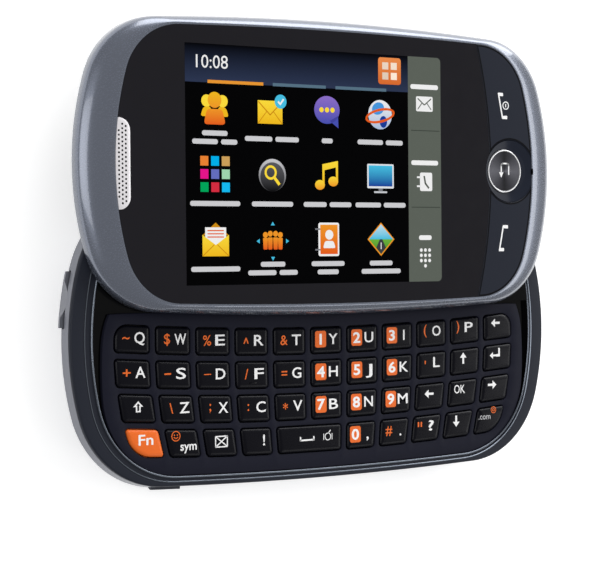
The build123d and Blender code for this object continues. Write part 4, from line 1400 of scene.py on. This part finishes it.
class PHONE_OT_keypad(bpy.types.Operator):
    """Matte panel with a rounded opening for each key"""
    bl_idname = "phone.keypad"
    bl_label = "Keypad panel"

    def execute(self, context):
        sizes, colours = context.scene.phone_sizes, context.scene.phone_colours
        bm = bmesh.new()
        outer = ((PANEL_EDGE, 0.0), (PANEL_EDGE * 0.3, PANEL_EDGE * 0.3), (0.0, PANEL_EDGE),
                 (0.0, PANEL_TOP - PANEL_FOOT))
        opening = ((-OPENING_LIP, 0.0), (-OPENING_LIP * 0.3, OPENING_LIP * 0.3),
                   (0.0, OPENING_LIP), (0.0, PANEL_TOP - PANEL_FOOT))
        outlines = [[panel_loop(bm, PANEL_FIT + inset, PANEL_TOP - drop)
                     for inset, drop in outer]]
        outlines += [[key_loop(bm, place, sizes.key_corner / MM, inset, PANEL_TOP - drop)
                      for inset, drop in opening] for place in key_places()]
        sheet(bm, outlines)
        matte = painted("panel_matte", colours.panel, 0.5, specular=0.08, grain=2600.0,
                        mottle=0.1, bump=0.06)
        piece(bm, "keypad_sheet", "base", [matte], ["keypad_panel"])
        return {"FINISHED"}


class PHONE_OT_keys(bpy.types.Operator):
    """Forty-three keys with their print"""
    bl_idname = "phone.keys"
    bl_label = "Keys"

    def execute(self, context):
        sizes, colours = context.scene.phone_sizes, context.scene.phone_colours
        dark = painted("key_satin", colours.key, 0.27, specular=0.14, grain=2600.0, mottle=0.06,
                       bump=0.004, roughness_spread=0.02)
        accent = painted("key_accent", colours.accent, 0.36, specular=0.25, grain=2600.0,
                         mottle=0.04, bump=0.004, roughness_spread=0.02)
        ink = printed("key_print", 0.0)
        white, orange = tuple(colours.legend), tuple(colours.accent)
        flange_top = KEY_FOOT + KEY_FLANGE_THICK
        sections = [(-KEY_FLANGE, KEY_FOOT), (-KEY_FLANGE, flange_top), (KEY_GAP, flange_top),
                    *arc_sections(KEY_GAP, KEY_TOP, sizes.key_edge / MM, KEY_EDGE_DROP, 90, 15)]
        for place in key_places():
            name, row, column, span = place
            bm = bmesh.new()
            loops = [key_loop(bm, place, sizes.key_corner / MM, inset, z) for inset, z in sections]
            skin(bm, loops)
            filled(bm, loops[0])
            filled(bm, loops[-1])
            if name in HOMING_KEYS:
                self.homing_bar(bm, *key_centre(row, column, span))
            canvas = Canvas(bm, KEY_TOP, sizes.legend_thick / MM, material=1)
            draw_legend(canvas, place, white, orange, sizes.legend_height / MM)
            cap, slot = (accent, "key_orange") if name == "fn" else (dark, "key_black")
            node = "key_" + name
            piece(bm, "cap_" + name, node, [cap, ink], [node], sharp=32.0)
        return {"FINISHED"}

    def homing_bar(self, bm, x, y):
        """Raised bar near the lower edge of a key with its middle at x and y."""
        y += KEY_GAP + HOMING_Y - (ROW_PITCH - WEB_Y) / 2
        length, width, height = HOMING_BAR
        bar = (Matrix.Translation((x, y, KEY_TOP))
               @ Matrix.Diagonal((length, width, 2 * height, 1)))
        made = bmesh.ops.create_cube(bm, size=1.0, matrix=bar)
        edges = {edge for vert in made["verts"] for edge in vert.link_edges}
        rounded(bm, list(edges), HOMING_ROUND, 2)


class PHONE_OT_shell(bpy.types.Operator):
    """Finishes of the base's shell, side keys, back and slide"""
    bl_idname = "phone.shell"
    bl_label = "Shell"

    def execute(self, context):
        colours = context.scene.phone_colours
        silver = painted("shell_paint", colours.shell, 0.34, metallic=0.55, coat=0.2,
                         grain=3500.0)
        for node in ("base_housing", "volume_rocker"):
            refinish(node, silver)
        refinish("side_key", painted("side_key_slate", srgb(58, 60, 68), 0.4, specular=0.2,
                                     grain=2600.0))
        refinish("battery_cover", painted("cover_soft", srgb(48, 50, 58), 0.55, specular=0.3,
                                          grain=2500.0, mottle=0.12, bump=0.12))
        refinish("battery", painted("battery_wrap", srgb(70, 72, 76), 0.5))
        board = painted("board_green", srgb(28, 78, 48), 0.45, grain=700.0)
        tint(board, height_on(board), BOARD_FOOT, srgb(44, 45, 50))
        tint(board, distance_to(board, LENS_PLACE), LENS_REACH, srgb(5, 5, 9))
        refinish("main_board", board)
        refinish("slide_guide", painted("guide_steel", srgb(170, 172, 175), 0.3, metallic=1.0,
                                        grain=1800.0))
        refinish("slider_back", painted("underside_matte", srgb(34, 35, 40), 0.5, grain=2000.0,
                                        bump=0.08))
        return {"FINISHED"}


class PHONE_OT_stage(bpy.types.Operator):
    """Pale floor, soft lamps and the camera"""
    bl_idname = "phone.stage"
    bl_label = "Stage"

    def execute(self, context):
        scene = context.scene
        self.floor(scene)
        world = bpy.data.worlds.new("studio")
        world.use_nodes = True
        backdrop = world.node_tree.nodes["Background"]
        backdrop.inputs["Color"].default_value = (1, 1, 1, 1)
        backdrop.inputs["Strength"].default_value = WORLD_LIGHT
        scene.world = world
        for name, place, width, height, power in LAMPS:
            light = bpy.data.lights.new(name, "AREA")
            light.shape = "RECTANGLE"
            light.size = width
            light.size_y = height
            light.energy = power
            lamp = bpy.data.objects.new(name, light)
            lamp.location = place
            lamp.rotation_euler = Vector(place).to_track_quat("Z", "Y").to_euler()
            scene.collection.objects.link(lamp)
        lens = bpy.data.cameras.new("view")
        lens.lens = CAMERA_LENS
        lens.sensor_width = CAMERA_SENSOR
        lens.clip_start = CAMERA_NEAR
        camera = bpy.data.objects.new("view", lens)
        camera.matrix_world = (Matrix.Translation(CAMERA_PLACE)
                               @ Matrix.Rotation(CAMERA_TURN.length, 4, CAMERA_TURN))
        scene.collection.objects.link(camera)
        scene.camera = camera
        scene.view_settings.view_transform = "Standard"
        return {"FINISHED"}

    def floor(self, scene):
        """Wide floor just under the phone."""
        bm = bmesh.new()
        bmesh.ops.create_grid(bm, x_segments=1, y_segments=1, size=FLOOR_REACH)
        mesh = bpy.data.meshes.new("floor")
        bm.to_mesh(mesh)
        bm.free()
        mesh.materials.append(self.pale_floor(scene.phone_colours.floor))
        floor = bpy.data.objects.new("floor", mesh)
        floor.location.z = -FLOOR_DROP * MM
        scene.collection.objects.link(floor)

    def pale_floor(self, colour):
        """Matte floor that shows white, also in what mirrors it, and keeps shadows."""
        material = painted("floor_matte", colour, 0.9, specular=0.0, grain=20.0, mottle=0.0,
                           bump=0.0)
        rays = add_node(material, "LightPath").outputs
        seen = rays["Is Camera Ray"]
        for ray in ("Is Glossy Ray", "Is Transmission Ray"):
            seen = self.combined(material, "MAXIMUM", seen, rays[ray])
        set_shader(material, Emission_Color=(1, 1, 1, 1),
                   Emission_Strength=self.combined(material, "MULTIPLY", seen, FLOOR_GLOW))
        return material

    def combined(self, material, operation, one, other):
        """Socket that gives two values joined by a math operation."""
        made = add_node(material, "Math", {"operation": operation})
        plug(material, made, 0, one)
        plug(material, made, 1, other)
        return made.outputs["Value"]


STEPS = (PHONE_OT_stage, PHONE_OT_bezel, PHONE_OT_window, PHONE_OT_screen, PHONE_OT_front_keys,
         PHONE_OT_grille, PHONE_OT_deck, PHONE_OT_keypad, PHONE_OT_keys, PHONE_OT_shell)


class PHONE_PT_build(bpy.types.Panel):
    """Lists the phone's settings and pieces"""
    bl_idname = "PHONE_PT_build"
    bl_label = "Phone"
    bl_space_type = "VIEW_3D"
    bl_region_type = "UI"
    bl_category = "Phone"

    def draw(self, context):
        for settings in (context.scene.phone_sizes, context.scene.phone_colours):
            for name in settings.bl_rna.properties.keys():
                if name not in ("rna_type", "name"):
                    self.layout.prop(settings, name)
        for step in STEPS:
            self.layout.operator(step.bl_idname)


CLASSES = (PhoneSizes, PhoneColours, *STEPS, PHONE_PT_build)


def register():
    for cls in CLASSES:
        bpy.utils.register_class(cls)
    bpy.types.Scene.phone_sizes = bpy.props.PointerProperty(type=PhoneSizes)
    bpy.types.Scene.phone_colours = bpy.props.PointerProperty(type=PhoneColours)


def unregister():
    del bpy.types.Scene.phone_colours
    del bpy.types.Scene.phone_sizes
    for cls in reversed(CLASSES):
        bpy.utils.unregister_class(cls)


def main():
    """Builds the whole phone and its stage."""
    register()
    for step in STEPS:
        group, name = step.bl_idname.split(".")
        getattr(getattr(bpy.ops, group), name)()


if __name__ == "__main__":
    main()
